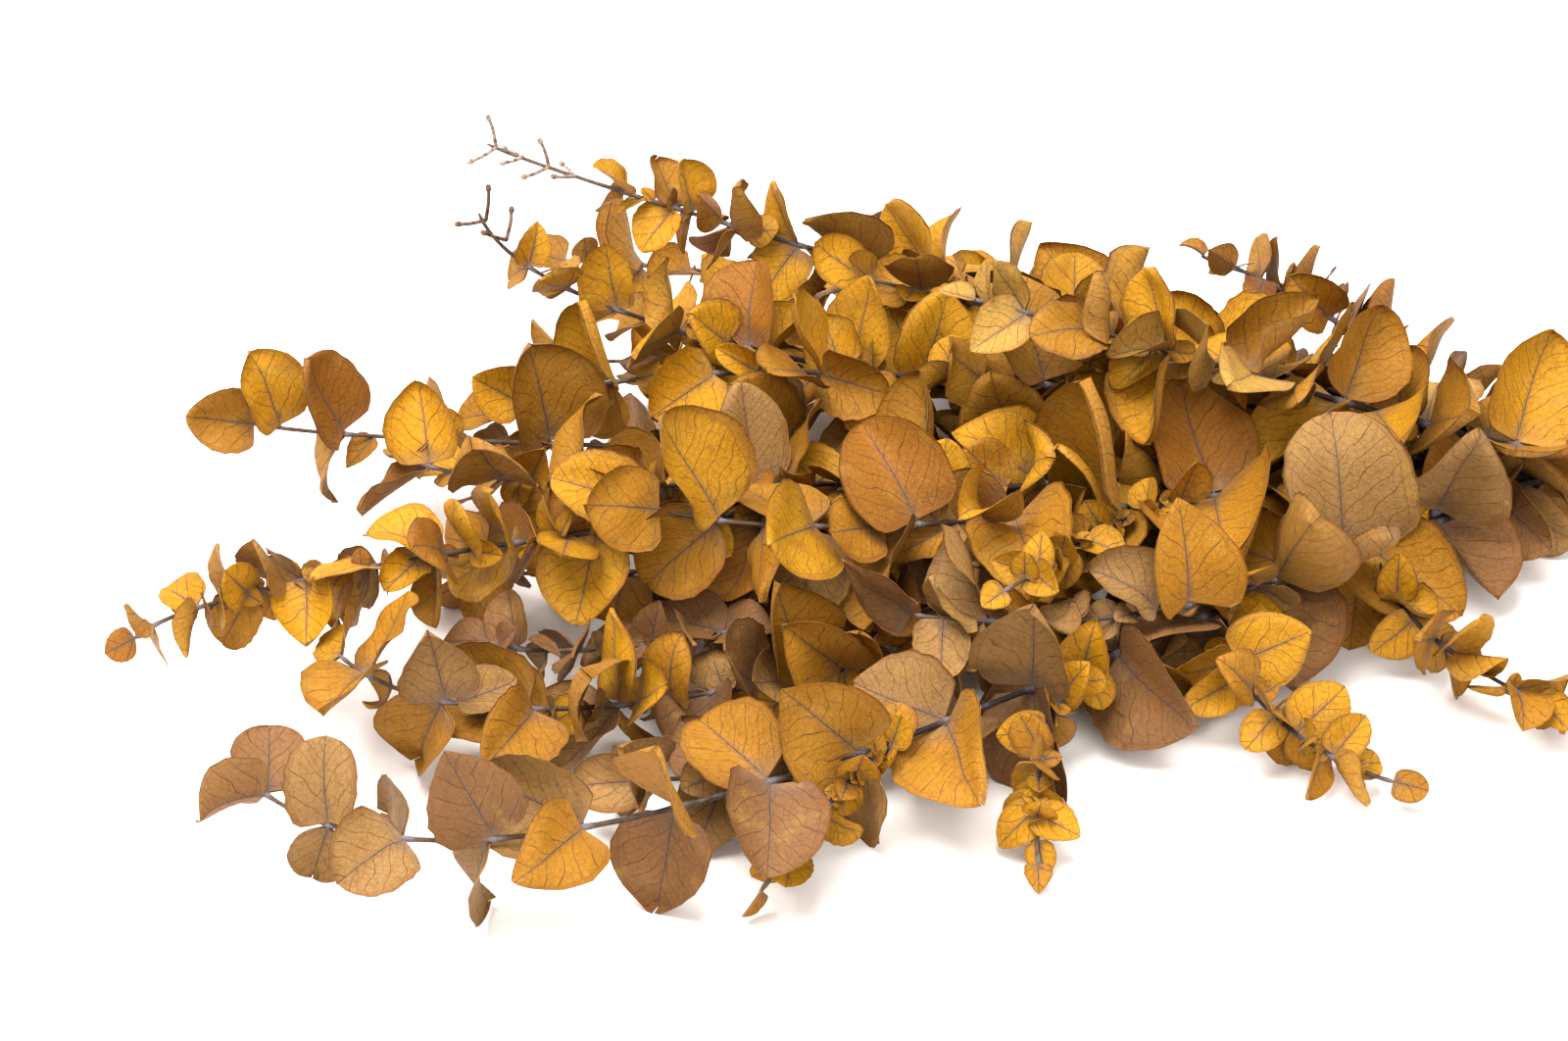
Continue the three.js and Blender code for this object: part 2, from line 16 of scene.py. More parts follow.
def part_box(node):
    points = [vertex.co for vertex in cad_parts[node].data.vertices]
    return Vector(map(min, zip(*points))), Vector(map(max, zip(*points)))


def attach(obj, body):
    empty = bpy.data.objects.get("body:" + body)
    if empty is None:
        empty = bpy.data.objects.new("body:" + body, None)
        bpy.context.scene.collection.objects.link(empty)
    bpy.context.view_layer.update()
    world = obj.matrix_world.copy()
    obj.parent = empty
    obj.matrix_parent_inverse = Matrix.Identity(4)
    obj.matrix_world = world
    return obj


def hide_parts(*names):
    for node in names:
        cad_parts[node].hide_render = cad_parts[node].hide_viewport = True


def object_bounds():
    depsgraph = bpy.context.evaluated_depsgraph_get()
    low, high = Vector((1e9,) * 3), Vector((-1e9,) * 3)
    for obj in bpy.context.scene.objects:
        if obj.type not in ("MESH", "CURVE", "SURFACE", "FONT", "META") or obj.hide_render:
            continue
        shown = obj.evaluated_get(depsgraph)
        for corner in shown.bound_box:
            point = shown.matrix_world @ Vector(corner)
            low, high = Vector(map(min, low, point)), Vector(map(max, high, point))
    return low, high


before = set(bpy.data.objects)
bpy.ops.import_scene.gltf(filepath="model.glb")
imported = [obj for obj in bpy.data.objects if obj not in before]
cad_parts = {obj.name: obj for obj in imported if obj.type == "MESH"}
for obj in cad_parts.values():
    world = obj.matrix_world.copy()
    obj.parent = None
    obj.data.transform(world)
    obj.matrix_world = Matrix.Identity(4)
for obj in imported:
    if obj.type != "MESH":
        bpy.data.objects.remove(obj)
cad_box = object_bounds()

# ------------------------ driving values

MM = 0.001

# The bundle of bare stems, from the cut ends to the neck where the stems begin to part.
STEM_PITCH = 3.8
CUT_END = np.array([372.0, 6.0, 8.3])
NECK = np.array([318.0, 6.0, 17.0])
NECK_HANDLE = 80
CUT_STAGGER = 7
STEM_BASE_RADIUS = 1.7
STEM_TIP_RADIUS = 0.8
SPRIG_BASE_RADIUS = 0.95
STEM_STEP = 36
SPRIG_STEP = 24

# The leaves of the frame, by the rule of its source. A gap is a share of a leaf's length, an opening the
# angle in degrees between leaf and stem, at the foot and at the tip of the stem. A pose that found no
# room was tried again, each time straying further and a little smaller.
BARE_FOOT = 92
BARE_SPRIG_FOOT = 12
PAIR_GAP = 0.82
SPRIG_GAP = 1.3
YOUNG_GROWTH = 2.8
PAIR_OPENINGS = (110, 62)
OPENING_RATE = 1.8
TIP_OPENING = 14
LAST_PAIR_ROOM = 3
PLACE_SPREAD = 2
TURN_SPREAD = 40
OPENING_SPREAD = 36
LEAST_SIZE = 0.86
SIZE_RANGE = 0.26
FRAME_THICKNESS = 0.7
ROOT_DEPTH = 0.4
LEAF_HALF_WIDTH = 0.46
PRESSED_REACH = 0.3
POSES_TRIED = 24
STRAY = 9
SHRINK = 0.012
TWIGLET_LENGTH = 13
TWIGLET_RADIUS = 0.55
TWIGLET_GAP = 11

# The tie.
TWINE_RADIUS = 1.1
TIE_INNER_RADIUS = 9.9
TIE_PLACE = 0.6
TIE_TURNS = 3
TAIL_REACH = 22
TAIL_DROP = 9

# The fine leaves and wood.
LEAF_THICKNESS = 0.34
STALK_SHARE = 0.05
STALK_HALF_WIDTH = 0.55
STALK_THICKNESS = 0.9
FLAT_ROLL = 0.001
BLADE_ROWS = 17
BLADE_COLUMNS = 10
MATCH = 0.25
BOX_ROOM = 0.02
LEAF_BOX_ROOM = 0.6
WOOD_SIDES = 9
WOOD_STEP = 2.5
NODE_LENGTH = 2.2
NODE_SWELL = 0.38
TWIGLET_SIDES = 7
CORD_SIDES = 14
CORD_TWIST = 0.9

# Rounds of further leaves: the step along the stem, the first key, and the least and most size.
FILLINGS = [(11, 400, 0.85, 1.08), (9, 500, 0.55, 0.9), (9, 700, 0.35, 0.6)]
FILL_TRIES = 36
FILL_OPENINGS = (105, 66)
FILL_LEAD = 22
FILL_FOOT = 8
FILL_ROOM = 1.4
ROOT_ROOM = 5
TIP_SHARE = 0.12
ROLLED_SHARE = 0.2
GOLDEN_ANGLE = 137.5
ROUTE_STEP = 1.2
CELL = 1.25
GRID_ROWS = np.linspace(0.04, 1, 24)
GRID_COLUMNS = 19

# Camera, floor and lights. Each light has its place, its size in metres, its power and its colour.
VIEW_ELEVATION = math.radians(35)
VIEW_TARGET = np.array([0, -60, 40])
VIEW_DISTANCE = 1360
FOCAL_LENGTH = 85
SENSOR_WIDTH = 36
FLOOR_SIZE = 12
FLOOR_COLOUR = (0.95, 0.905, 0.865)
LIGHT_AIM = (0, 0, 0.05)
LIGHTS = {
    "key": ((-0.5, -0.1, 2.0), 1.7, 96, (1.0, 0.985, 0.965)),
    "fill": ((0.7, -1.7, 1.4), 1.8, 20, (1.0, 0.99, 0.98)),
}
WORLD_STRENGTH = 1.15

# Surfaces: the depth of their bumps in metres, and how many lateral veins leave a millimetre of midrib.
BUMP_DEPTH = 0.0004
LATERALS_PER_MM = 0.138


def leafy_stem(name, *values, **more):
    """A stem as in the frame: the slot of its foot in the bundle (across, up), the handle that bows it,
    its tip, its largest and smallest leaf and the turn of its first pair. The rest is looks: the mix of
    its leaf colours and the share of its length that gets further leaves. More can be its share of the
    usual gap between pairs, sprigs, pairs of twiglets and their colour, pressed leaves, an open tip."""
    fields = ("slot", "bow", "tip", "leaves", "turn", "mix", "filled")
    return dict(zip(fields, values), name="leafy_stem_" + name, **more)


def side_sprig(*values):
    """A sprig: the share of the stem below it, then what a stem has."""
    return dict(zip(("at", "bow", "tip", "leaves", "turn"), values))


STEMS = [
    leafy_stem("centre", (-1.5, 1), (25, -115, 52), (-52, -86, 66), (50, 38), 20, "ochre", 0.9,
               sprigs=[side_sprig(0.5, (95, -118, 62), (76, -132, 60), (18, 13), 0)]),
    leafy_stem("front", (-1.5, -1), (-75, -335, 34), (-178, -216, 44), (48, 26), 0, "tan", 0.47, open=True,
               sprigs=[side_sprig(0.36, (165, -170, 22), (212, -174, 9), (27, 15), 30),
                       side_sprig(0.6, (5, -222, 22), (-8, -232, 9), (18, 13), 60),
                       side_sprig(0.47, (85, -190, 24), (86, -216, 6), (22, 12), 10)]),
    leafy_stem("top", (-1, 2), (190, -30, 82), (70, -6, 102), (46, 16), 40, "pale", 0.85),
    leafy_stem("back_curl", (0.5, 0.85), (-88, 8, 52), (-116, 45, 109), (48, 17), 10, "bright", 0.85,
               twiglets=2, twiglet=(106, 78, 57)),
    leafy_stem("back_high", (1, 2), (-77, 104, 84), (-116, 95, 111), (46, 18), 55, "bright", 0.85,
               twiglets=4, twiglet=(172, 148, 131)),
    leafy_stem("left_low", (0.5, -1), (-134, 2, 26), (-198, -20, 56), (46, 31), 0, "ochre", 0.7, gap=1.25),
    leafy_stem("left_middle", (0, 0), (-84, -66, 42), (-138, -55, 64), (46, 29), 45, "ochre", 0.85),
    leafy_stem("left_far", (-0.5, 1), (-190, -125, 80), (-229, -130, 38), (46, 16), 70, "bright", 0.97),
    leafy_stem("front_inner", (-1, -2), (-76, -205, 2), (-154, -150, 46), (46, 32), 0, "warm", 0.93),
    leafy_stem("rosy", (-1, 0), (-56, -142, 17), (-106, -120, 30), (42, 20), 30, "rosy", 0.92, gap=1.1),
    leafy_stem("khaki", (-2, 0), (187, -139, 34), (45, -132, 50), (52, 36), 65, "khaki", 0.97,
               sprigs=[side_sprig(0.42, (222, -122, 26), (282, -140, 10), (30, 15), 0)]),
    leafy_stem("crown", (0, 2), (-34, 4, 92), (-106, 5, 44), (46, 31), 15, "bright", 0.85, gap=1.2),
    leafy_stem("back_short", (1.5, 1), (240, 72, 46), (165, 85, 66), (34, 13), 35, "brown", 0.9),
    leafy_stem("back_crown", (1, 0), (125, 36, 62), (30, 52, 76), (46, 28), 5, "bright", 0.9, gap=1.3),
    leafy_stem("front_low", (-0.5, -1), (75, -175, 8), (-50, -186, 20), (46, 28), 50, "khaki", 0.95),
    leafy_stem("back_middle", (1.5, -1), (70, 124, 34), (-90, 135, 34), (46, 26), 25, "bright", 0.85,
               gap=1.7),
    leafy_stem("back_outer", (2, 0), (138, 90, 42), (20, 112, 44), (46, 26), 75, "bright", 0.85, gap=1.5),
    leafy_stem("back_low", (1, -2), (60, 72, 27), (-82, 58, 34), (46, 28), 45, "ochre", 0.9, gap=1.8),
    leafy_stem("under", (0, -2), (0, -62, 6), (-120, -66, 22), (46, 28), 90, "brown", 0.85,
               gap=1.9, pressed=True),
]


def linear(red, green, blue):
    """An 8-bit sRGB colour as linear light."""
    share = np.array([red, green, blue]) / 255
    return np.where(share <= 0.04045, share / 12.92, ((share + 0.055) / 1.055) ** 2.4)


BRIGHT = linear(179, 125, 11)
OCHRE = linear(156, 105, 19)
ORANGE = linear(138, 86, 17)
BROWN = linear(112, 66, 20)
KHAKI = linear(144, 107, 59)
ROSY = linear(120, 82, 46)
PALE = linear(168, 128, 56)
UNDERSIDE = linear(148, 109, 56)
VEIN = linear(63, 38, 28)
LEAF_BASE = linear(95, 78, 68)
MARGIN = linear(105, 62, 26)
BARK = linear(42, 29, 28)
BARK_DARK = linear(27, 19, 18)
LINT = linear(124, 118, 126)
CUT_WOOD = linear(173, 150, 113)
YOUNG_WOOD = (150, 122, 88)
TWINE = linear(165, 138, 94)
TWINE_PALE = linear(191, 170, 131)

# The leaf colours of each mix and their shares.
MIXES = {
    "ochre": [(OCHRE, 0.5), (BRIGHT, 0.24), (ORANGE, 0.19), (KHAKI, 0.07)],
    "bright": [(BRIGHT, 0.62), (OCHRE, 0.3), (ORANGE, 0.08)],
    "pale": [(PALE, 0.45), (OCHRE, 0.3), (BRIGHT, 0.25)],
    "tan": [(OCHRE, 0.3), (KHAKI, 0.42), (ROSY, 0.28)],
    "warm": [(OCHRE, 0.4), (KHAKI, 0.32), (ROSY, 0.16), (BRIGHT, 0.12)],
    "khaki": [(KHAKI, 0.66), (ROSY, 0.18), (OCHRE, 0.16)],
    "rosy": [(ROSY, 0.66), (KHAKI, 0.16), (BROWN, 0.18)],
    "brown": [(BROWN, 0.24), (ORANGE, 0.4), (OCHRE, 0.36)],
    "sprig": [(BRIGHT, 0.75), (OCHRE, 0.25)],
}

UP = np.array([0.0, 0.0, 1.0])
ROW_PITCH = STEM_PITCH * math.sin(math.radians(60))


# ------------------------ draws and vectors


def draw(key, channel):
    """A repeatable draw between 0 and 1."""
    wave = math.sin(key * 12.9898 + channel * 78.233) * 43758.5453
    return wave - math.floor(wave)


def spread(key, channel, width):
    return (draw(key, channel) - 0.5) * width


def unit(vector):
    return vector / np.linalg.norm(vector)


def between(start, towards, angle):
    """The direction at an angle from one direction towards another that is square to it."""
    return start * math.cos(angle) + towards * math.sin(angle)


def square_to(vector, axis):
    return unit(vector - axis * vector.dot(axis))


def mix(a, b, share):
    return a + (b - a) * share


def smooth_step(low, high, value):
    share = np.clip((value - low) / (high - low), 0, 1)
    return share * share * (3 - 2 * share)


# ------------------------ routes


def sweep_points(handles, t):
    t = np.asarray(t, float)[:, None]
    a, b, c, d = handles
    return a * (1 - t) ** 3 + 3 * b * t * (1 - t) ** 2 + 3 * c * t**2 * (1 - t) + d * t**3


class Route:
    """The middle line of a shoot. point_at follows the frame's straight pieces, smooth_at the sweep."""

    def __init__(self, foot, neck, handle, bow, tip, step):
        self.foot, self.handles = foot, (neck, handle, bow, tip)
        self.t = np.linspace(0, 1, 201)
        dense = sweep_points(self.handles, self.t)
        self.run = np.concatenate([[0], np.cumsum(np.linalg.norm(np.diff(dense, axis=0), axis=1))])
        self.straight = float(np.linalg.norm(neck - foot))
        self.length = self.straight + self.run[-1]
        pieces = max(1, math.floor(self.run[-1] / step + 0.5))
        places = self.run[-1] * np.arange(pieces + 1) / pieces
        knots = sweep_points(self.handles, np.interp(places, self.run, self.t))
        places = places + self.straight
        if self.straight > 0:
            knots = np.vstack([foot, knots])
            places = np.concatenate([[0], places])
        self.knots, self.places = knots, places

    def point_at(self, distance):
        return np.array([np.interp(distance, self.places, self.knots[:, axis]) for axis in range(3)])

    def smooth_at(self, distance):
        distance = min(max(distance, 0), self.length)
        if distance < self.straight:
            return mix(self.foot, self.handles[0], distance / self.straight)
        t = np.interp(distance - self.straight, self.run, self.t)
        return sweep_points(self.handles, [t])[0]

    def frame_at(self, distance, point=None):
        point = point or self.point_at
        ends = [point(min(max(distance + way * 3, 0), self.length)) for way in (1, -1)]
        tangent = unit(ends[0] - ends[1])
        side = unit(np.cross(tangent, UP))
        return tangent, side, np.cross(side, tangent)


def stem_route(stem, order):
    along = unit(NECK - CUT_END)
    slot = np.array([0, stem["slot"][0] * STEM_PITCH, stem["slot"][1] * ROW_PITCH])
    neck = NECK + slot
    foot = CUT_END + slot + along * draw(order, 1) * CUT_STAGGER
    ends = np.array(stem["bow"], float), np.array(stem["tip"], float)
    return Route(foot, neck, neck + along * NECK_HANDLE, *ends, STEM_STEP)


def sprig_route(sprig, parent):
    distance = parent.length * sprig["at"]
    root = parent.point_at(distance)
    tip = np.array(sprig["tip"], float)
    handle = root + parent.frame_at(distance)[0] * np.linalg.norm(root - tip) / 3
    return Route(root, root, handle, np.array(sprig["bow"], float), tip, SPRIG_STEP)


# What a stem and a sprig have unless their entries say otherwise.
PLAIN_STEM = dict(foot_radius=STEM_BASE_RADIUS, bare=BARE_FOOT, gap=1, pressed=False, open=False,
                  twiglets=0, twiglet=YOUNG_WOOD)
PLAIN_SPRIG = PLAIN_STEM | dict(foot_radius=SPRIG_BASE_RADIUS, bare=BARE_SPRIG_FOOT, gap=SPRIG_GAP,
                                mix="sprig", filled=0.9)


def shoots_of(stem, order):
    """The stem itself and its sprigs, as dicts."""
    route = stem_route(stem, order)
    shoots = [PLAIN_STEM | stem | dict(route=route, key=order * 1000, fill=[])]
    for index, sprig in enumerate(stem.get("sprigs", []), 1):
        own = dict(route=sprig_route(sprig, route), key=order * 1000 + index * 200, fill=[])
        shoots.append(PLAIN_SPRIG | sprig | own)
    return shoots


# ------------------------ leaf poses


def leaf_plans(shoot):
    """Where the frame's leaves stand: pairs whose gap shrinks towards the tip, and one at the tip."""
    route, leaves, foot_radius = shoot["route"], shoot["leaves"], shoot["foot_radius"]
    leafy_end = route.length - shoot["twiglets"] * TWIGLET_GAP
    distance, pair, plans = shoot["bare"], 0, []
    while distance < leafy_end - LAST_PAIR_ROOM:
        share = (distance - shoot["bare"]) / (leafy_end - shoot["bare"])
        length = mix(leaves[0], leaves[1], share**YOUNG_GROWTH)
        for opposite in (0, 1):
            key = shoot["key"] + pair * 2 + opposite
            plans.append(dict(
                key=key, distance=distance + spread(key, 11, PLACE_SPREAD), pressed=shoot["pressed"],
                azimuth=shoot["turn"] + pair * (180 if shoot["pressed"] else 90) + opposite * 180,
                opening=mix(*PAIR_OPENINGS, min(1, share * OPENING_RATE)),
                size=length * (LEAST_SIZE + SIZE_RANGE * draw(key, 12)),
                radius=mix(foot_radius, STEM_TIP_RADIUS, distance / route.length)))
        distance += length * PAIR_GAP * shoot["gap"]
        pair += 1
    if shoot["twiglets"] == 0:
        plans.append(dict(key=shoot["key"] + pair * 2, distance=route.length - 1, azimuth=shoot["turn"],
                          opening=TIP_OPENING, size=leaves[1] * 0.9, radius=STEM_TIP_RADIUS, pressed=False))
    return plans


def leaf_pose(route, plan, attempt):
    """The way a leaf is held at an attempt, as the frame's rule gives it."""
    key, size, pressed = plan["key"], plan["size"], plan["pressed"]
    if "frame" not in plan:
        plan["frame"], plan["root"] = route.frame_at(plan["distance"]), route.point_at(plan["distance"])
    tangent, side, rise = plan["frame"]
    stray, channel = attempt * STRAY, attempt * 10
    turn = math.radians(plan["azimuth"] + spread(key, channel + 1, TURN_SPREAD + stray))
    opening = math.radians(plan["opening"] + spread(key, channel + 2, OPENING_SPREAD + stray))
    outward = between(rise, side, turn)
    axis = between(tangent, outward, opening)
    root = plan["root"]
    if pressed:
        axis[2] = -root[2] / (PRESSED_REACH * size)
        axis = unit(axis)
    root = root - axis * ROOT_DEPTH * plan["radius"]
    grown = between(-outward, tangent, opening)
    tilted = np.array([0, root[1] / 400 - 0.3, 0.8])
    tilted[0] = spread(key, channel + 3, 1.1)
    tilted[1] += spread(key, channel + 4, 1)
    share = 0.9 if draw(key, channel + 5) < 0.7 else 0.25
    normal = UP if pressed else mix(grown, square_to(tilted, axis), share)
    normal = square_to(normal, axis)
    shrink = 1 - SHRINK * attempt
    return dict(
        key=key, distance=plan["distance"], root=root, axis=axis, normal=normal,
        across=np.cross(axis, normal), length=size * shrink,
        half_width=size * (LEAF_HALF_WIDTH + spread(key, 6, 0.08)) * shrink,
        bend=-0.25 + spread(key, 7, 0.2 if pressed else 1.1),
        twist=0 if pressed else spread(key, 8, 0.7),
        fold=0 if pressed else 0.1 + 0.4 * draw(key, 9),
        cup=0 if pressed else 0.02 + 0.2 * draw(key, 10),
        roll=FLAT_ROLL)


def stack(poses, name):
    """One value of several poses, shaped to meet a grid of rows and columns."""
    values = np.array([pose[name] for pose in poses], float)
    return values[:, None, None, :] if values.ndim == 2 else values[:, None, None]


def blade_points(poses, u, w, curl=0.0):
    """Points and normals of the blades' middle surfaces at length shares u and width shares w.

    The two halves fold up from the midrib and roll round it, and curl lifts each point further.
    """
    root, axis, normal, across = (stack(poses, name) for name in ("root", "axis", "normal", "across"))
    length, half_width, bend = (stack(poses, name) for name in ("length", "half_width", "bend"))
    twist, fold, cup, roll = (stack(poses, name) for name in ("twist", "fold", "cup", "roll"))
    arc = bend * u
    reach = np.sin(arc) / bend * length
    lift = (1 - np.cos(arc)) / bend * length

    def turned(start, towards, angle):
        return start * np.cos(angle)[..., None] + towards * np.sin(angle)[..., None]

    facing = turned(normal, axis, -arc)
    across_here = turned(across, facing, twist * u)
    upward = turned(facing, across, -twist * u)
    turn = w * roll * smooth_step(0, 0.35, u)
    offset = w * half_width * np.sinc(turn / math.pi)
    raised = np.abs(offset) * (np.sin(fold) + cup * np.abs(w)) + curl
    raised = raised + w * half_width * np.sinc(turn / 2 / math.pi) * np.sin(turn / 2)
    points = root + axis * reach[..., None] + normal * lift[..., None]
    points = points + across_here * (offset * np.cos(fold))[..., None] + upward * raised[..., None]
    slope = fold + 2 * cup * np.abs(w)
    normals = turned(upward, across_here, -np.sign(w) * slope - turn)
    normals = normals / np.linalg.norm(normals, axis=-1, keepdims=True)
    return points, normals


# ------------------------ the frame's own leaves

# The tie is centred on its place in the bundle, so its box gives the origin of the layout.
tie_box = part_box("twine_tie")
tie_centre = mix(CUT_END, NECK, TIE_PLACE)
origin = (np.array(tie_box[0]) + np.array(tie_box[1])) / 2 / MM - tie_centre
origin[2] = 0


def frame_tree(name):
    """The corners of a CAD node in the layout's millimetres, ready for a search."""
    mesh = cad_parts[name].data
    corners = np.empty(len(mesh.vertices) * 3)
    mesh.vertices.foreach_get("co", corners)
    corners = corners.reshape(-1, 3) / MM - origin
    tree = kdtree.KDTree(len(corners))
    for index, corner in enumerate(corners):
        tree.insert(corner, index)
    tree.balance()
    return tree


def match_leaves(shoot, tree):
    """The poses of a shoot's leaves that the frame holds, known by both corners of their tips."""
    found = []
    for plan in leaf_plans(shoot):
        for attempt in range(POSES_TRIED):
            pose = leaf_pose(shoot["route"], plan, attempt)
            points, normals = blade_points([pose], np.ones((1, 1, 1)), np.zeros((1, 1, 1)))
            point, normal = points[0, 0, 0], normals[0, 0, 0]
            if point[2] < FRAME_THICKNESS / 2:
                point[2] = FRAME_THICKNESS / 2
                normal = UP
            corners = [point + normal * way * FRAME_THICKNESS / 2 for way in (1, -1)]
            if all(tree.find(corner)[2] < MATCH for corner in corners):
                found.append(pose)
                break
    return found


shoots = {stem["name"]: shoots_of(stem, order) for order, stem in enumerate(STEMS, 1)}
every_shoot = [shoot for group in shoots.values() for shoot in group]
for name, group in shoots.items():
    tree = frame_tree(name)
    for shoot in group:
        shoot["poses"] = match_leaves(shoot, tree)
print("leaves of the frame found", sum(len(shoot["poses"]) for shoot in every_shoot))


# ------------------------ room for further leaves

low = np.array(cad_box[0]) / MM - origin
high = np.array(cad_box[1]) / MM - origin
cells = np.zeros(np.ceil((high - low) / CELL).astype(int) + 8, bool)


def cell_of(points):
    return np.floor((points - low) / CELL).astype(int) + 4


def ball(radius):
    reach = math.ceil(radius / CELL)
    steps = np.arange(-reach, reach + 1)
    offsets = np.stack(np.meshgrid(steps, steps, steps, indexing="ij"), -1).reshape(-1, 3)
    return offsets[np.linalg.norm(offsets * CELL, axis=1) <= radius]


def take(points, radius):
    """Marks the room round some points as full."""
    marks = (cell_of(points)[:, None] + ball(radius)).reshape(-1, 3)
    marks = np.clip(marks, 0, np.array(cells.shape) - 1)
    cells[tuple(marks.T)] = True


def free(points, pose, radius):
    """Whether points of a blade, but for those by its root, lie inside the box and clear of the rest."""
    if (points < low + 1).any() or (points > high - 1).any():
        return False
    away = points[np.linalg.norm(points - pose["root"], axis=1) > ROOT_ROOM + radius]
    return not cells[tuple(cell_of(away).T)].any()


def midrib_points(pose):
    """A few points of a blade's midrib, for a quick first look at its room."""
    arc = (pose["bend"] * GRID_ROWS[5::3])[:, None]
    reach = pose["axis"] * np.sin(arc) + pose["normal"] * (1 - np.cos(arc))
    return pose["root"] + reach * pose["length"] / pose["bend"]


def coarse_grid(poses):
    """Points every two millimetres or so over each blade."""
    u = GRID_ROWS[None, :, None]
    w = np.linspace(-1, 1, GRID_COLUMNS)[None, None, :] * outline(u, 0.5)
    u = np.broadcast_to(u, (len(poses), len(GRID_ROWS), GRID_COLUMNS))
    w = np.broadcast_to(w, u.shape)
    points, _ = blade_points(poses, u, w)
    return points


def outline(u, pointed):
    """The half width of a blade as a share of its largest, from the stalk to the tip."""
    v = np.clip((u - STALK_SHARE) / (1 - STALK_SHARE), 0, 1)
    widest = 0.47 - 0.1 * pointed
    foot = np.sqrt(np.clip(1 - np.abs(1 - np.minimum(v, widest) / widest) ** 3, 0, 1))
    head = np.clip((v - widest) / (1 - widest), 0, 1)
    round_head = np.sqrt(np.clip(1 - (head / 0.985) ** 2.4, 0, 1))
    point = 0.06 * (1 - head) / 0.1 * (head > 0.9) + 0.06 * (head <= 0.9)
    sharp_head = (1 - head**1.7) ** 1.05
    return foot * mix(np.maximum(round_head, point), sharp_head, pointed)


for shoot in every_shoot:
    route = shoot["route"]
    middle_line = np.array([route.smooth_at(d) for d in np.arange(0, route.length, ROUTE_STEP)])
    take(middle_line, shoot["foot_radius"])
    if shoot["poses"]:
        take(coarse_grid(shoot["poses"]).reshape(-1, 3), FILL_ROOM)


def wildness(size):
    """How much a leaf of a size warps as it dries: the small young ones stay nearly flat."""
    return 0.3 + 0.7 * smooth_step(14, 34, size)


def roll_of(key):
    """How far a half blade rolls round the midrib, in radians: a little, or for one in five a lot."""
    if draw(key, 13) < ROLLED_SHARE:
        return 1.1 + 1.1 * draw(key, 14)
    return spread(key, 14, 0.9)


def fill_pose(shoot, plan, attempt):
    """A further leaf: held more freely and curled more than those of the frame."""
    pose = leaf_pose(shoot["route"], plan, attempt)
    key = plan["key"]
    wild = wildness(plan["size"])
    pose["bend"] = -0.1 + spread(key, 7, 1.7) * wild
    pose["twist"] = spread(key, 8, 1.1) * wild
    pose["fold"] = 0.02 + 0.7 * draw(key, 9) ** 2 * wild
    pose["cup"] = 0.02 + 0.25 * draw(key, 10) * wild
    pose["roll"] = FLAT_ROLL + roll_of(key) * wild
    return pose


def fill_leaves(shoot, step, first_key, least, most):
    """Further leaves between the frame's pairs, each clear of everything before it."""
    route, leaves = shoot["route"], shoot["leaves"]
    leafy_end = route.length - shoot["twiglets"] * TWIGLET_GAP
    start = max(shoot["bare"] - FILL_LEAD, FILL_FOOT)
    filled = route.length * shoot["filled"]
    added = []
    for index in range(int((leafy_end - start) / step) * 2):
        key = shoot["key"] + first_key + index
        distance = start + (index // 2 + 0.5) * step + spread(key, 11, 5)
        if distance > filled and (shoot["open"] or draw(key, 15) > TIP_SHARE):
            continue
        share = max(0, (distance - shoot["bare"]) / (leafy_end - shoot["bare"]))
        size = mix(leaves[0], leaves[1], share**YOUNG_GROWTH) * mix(least, most, draw(key, 12))
        plan = dict(key=key, distance=distance, azimuth=index * GOLDEN_ANGLE, size=size, pressed=False,
                    opening=mix(*FILL_OPENINGS, min(1, share * OPENING_RATE)),
                    radius=mix(shoot["foot_radius"], STEM_TIP_RADIUS, distance / route.length))
        for attempt in range(FILL_TRIES):
            pose = fill_pose(shoot, plan, attempt)
            if not free(midrib_points(pose), pose, plan["radius"]):
                continue
            points = coarse_grid([pose]).reshape(-1, 3)
            if free(points, pose, plan["radius"]):
                take(points, FILL_ROOM)
                added.append(pose)
                break
    return added


for filling in FILLINGS:
    for shoot in every_shoot:
        shoot["fill"] += fill_leaves(shoot, *filling)
print("further leaves", sum(len(shoot["fill"]) for shoot in every_shoot))


# ------------------------ meshes


def place_object(name, data):
    piece = bpy.data.objects.new(name, data)
    bpy.context.scene.collection.objects.link(piece)
    return piece


def make_object(name, points, faces, colours, places, extras, material):
    """A piece from points in the layout's millimetres, with a colour, a place and extras at each."""
    points = np.clip(points, low + BOX_ROOM, high - BOX_ROOM)
    mesh = bpy.data.meshes.new(name)
    mesh.from_pydata(((points + origin) * MM).tolist(), [], faces)
    mesh.polygons.foreach_set("use_smooth", np.ones(len(faces), bool))
    colour = mesh.attributes.new("tint", "FLOAT_COLOR", "POINT")
    colour.data.foreach_set("color", np.column_stack([colours, np.ones(len(points))]).ravel())
    for title, values in (("place", places), ("extras", extras)):
        layer = mesh.attributes.new(title, "FLOAT_VECTOR", "POINT")
        layer.data.foreach_set("vector", np.asarray(values, float).ravel())
    mesh.materials.append(material)
    mesh.validate()
    return place_object(name, mesh)


def drawn(poses, channel, least, most):
    """A draw for each leaf, shaped to meet a grid of rows and columns."""
    return np.array([mix(least, most, draw(pose["key"], channel)) for pose in poses])[:, None, None]


def leaf_tints(poses, mix_name):
    """The colour of each leaf, drawn from its stem's mix, and darker or lighter as a whole."""
    tints = []
    for pose in poses:
        pick, total = draw(pose["key"], 31), 0
        for tint, share in MIXES[mix_name]:
            total += share
            if pick <= total:
                break
        tints.append(tint * (0.84 + 0.3 * draw(pose["key"], 32)))
    return np.array(tints)[:, None, None, :]


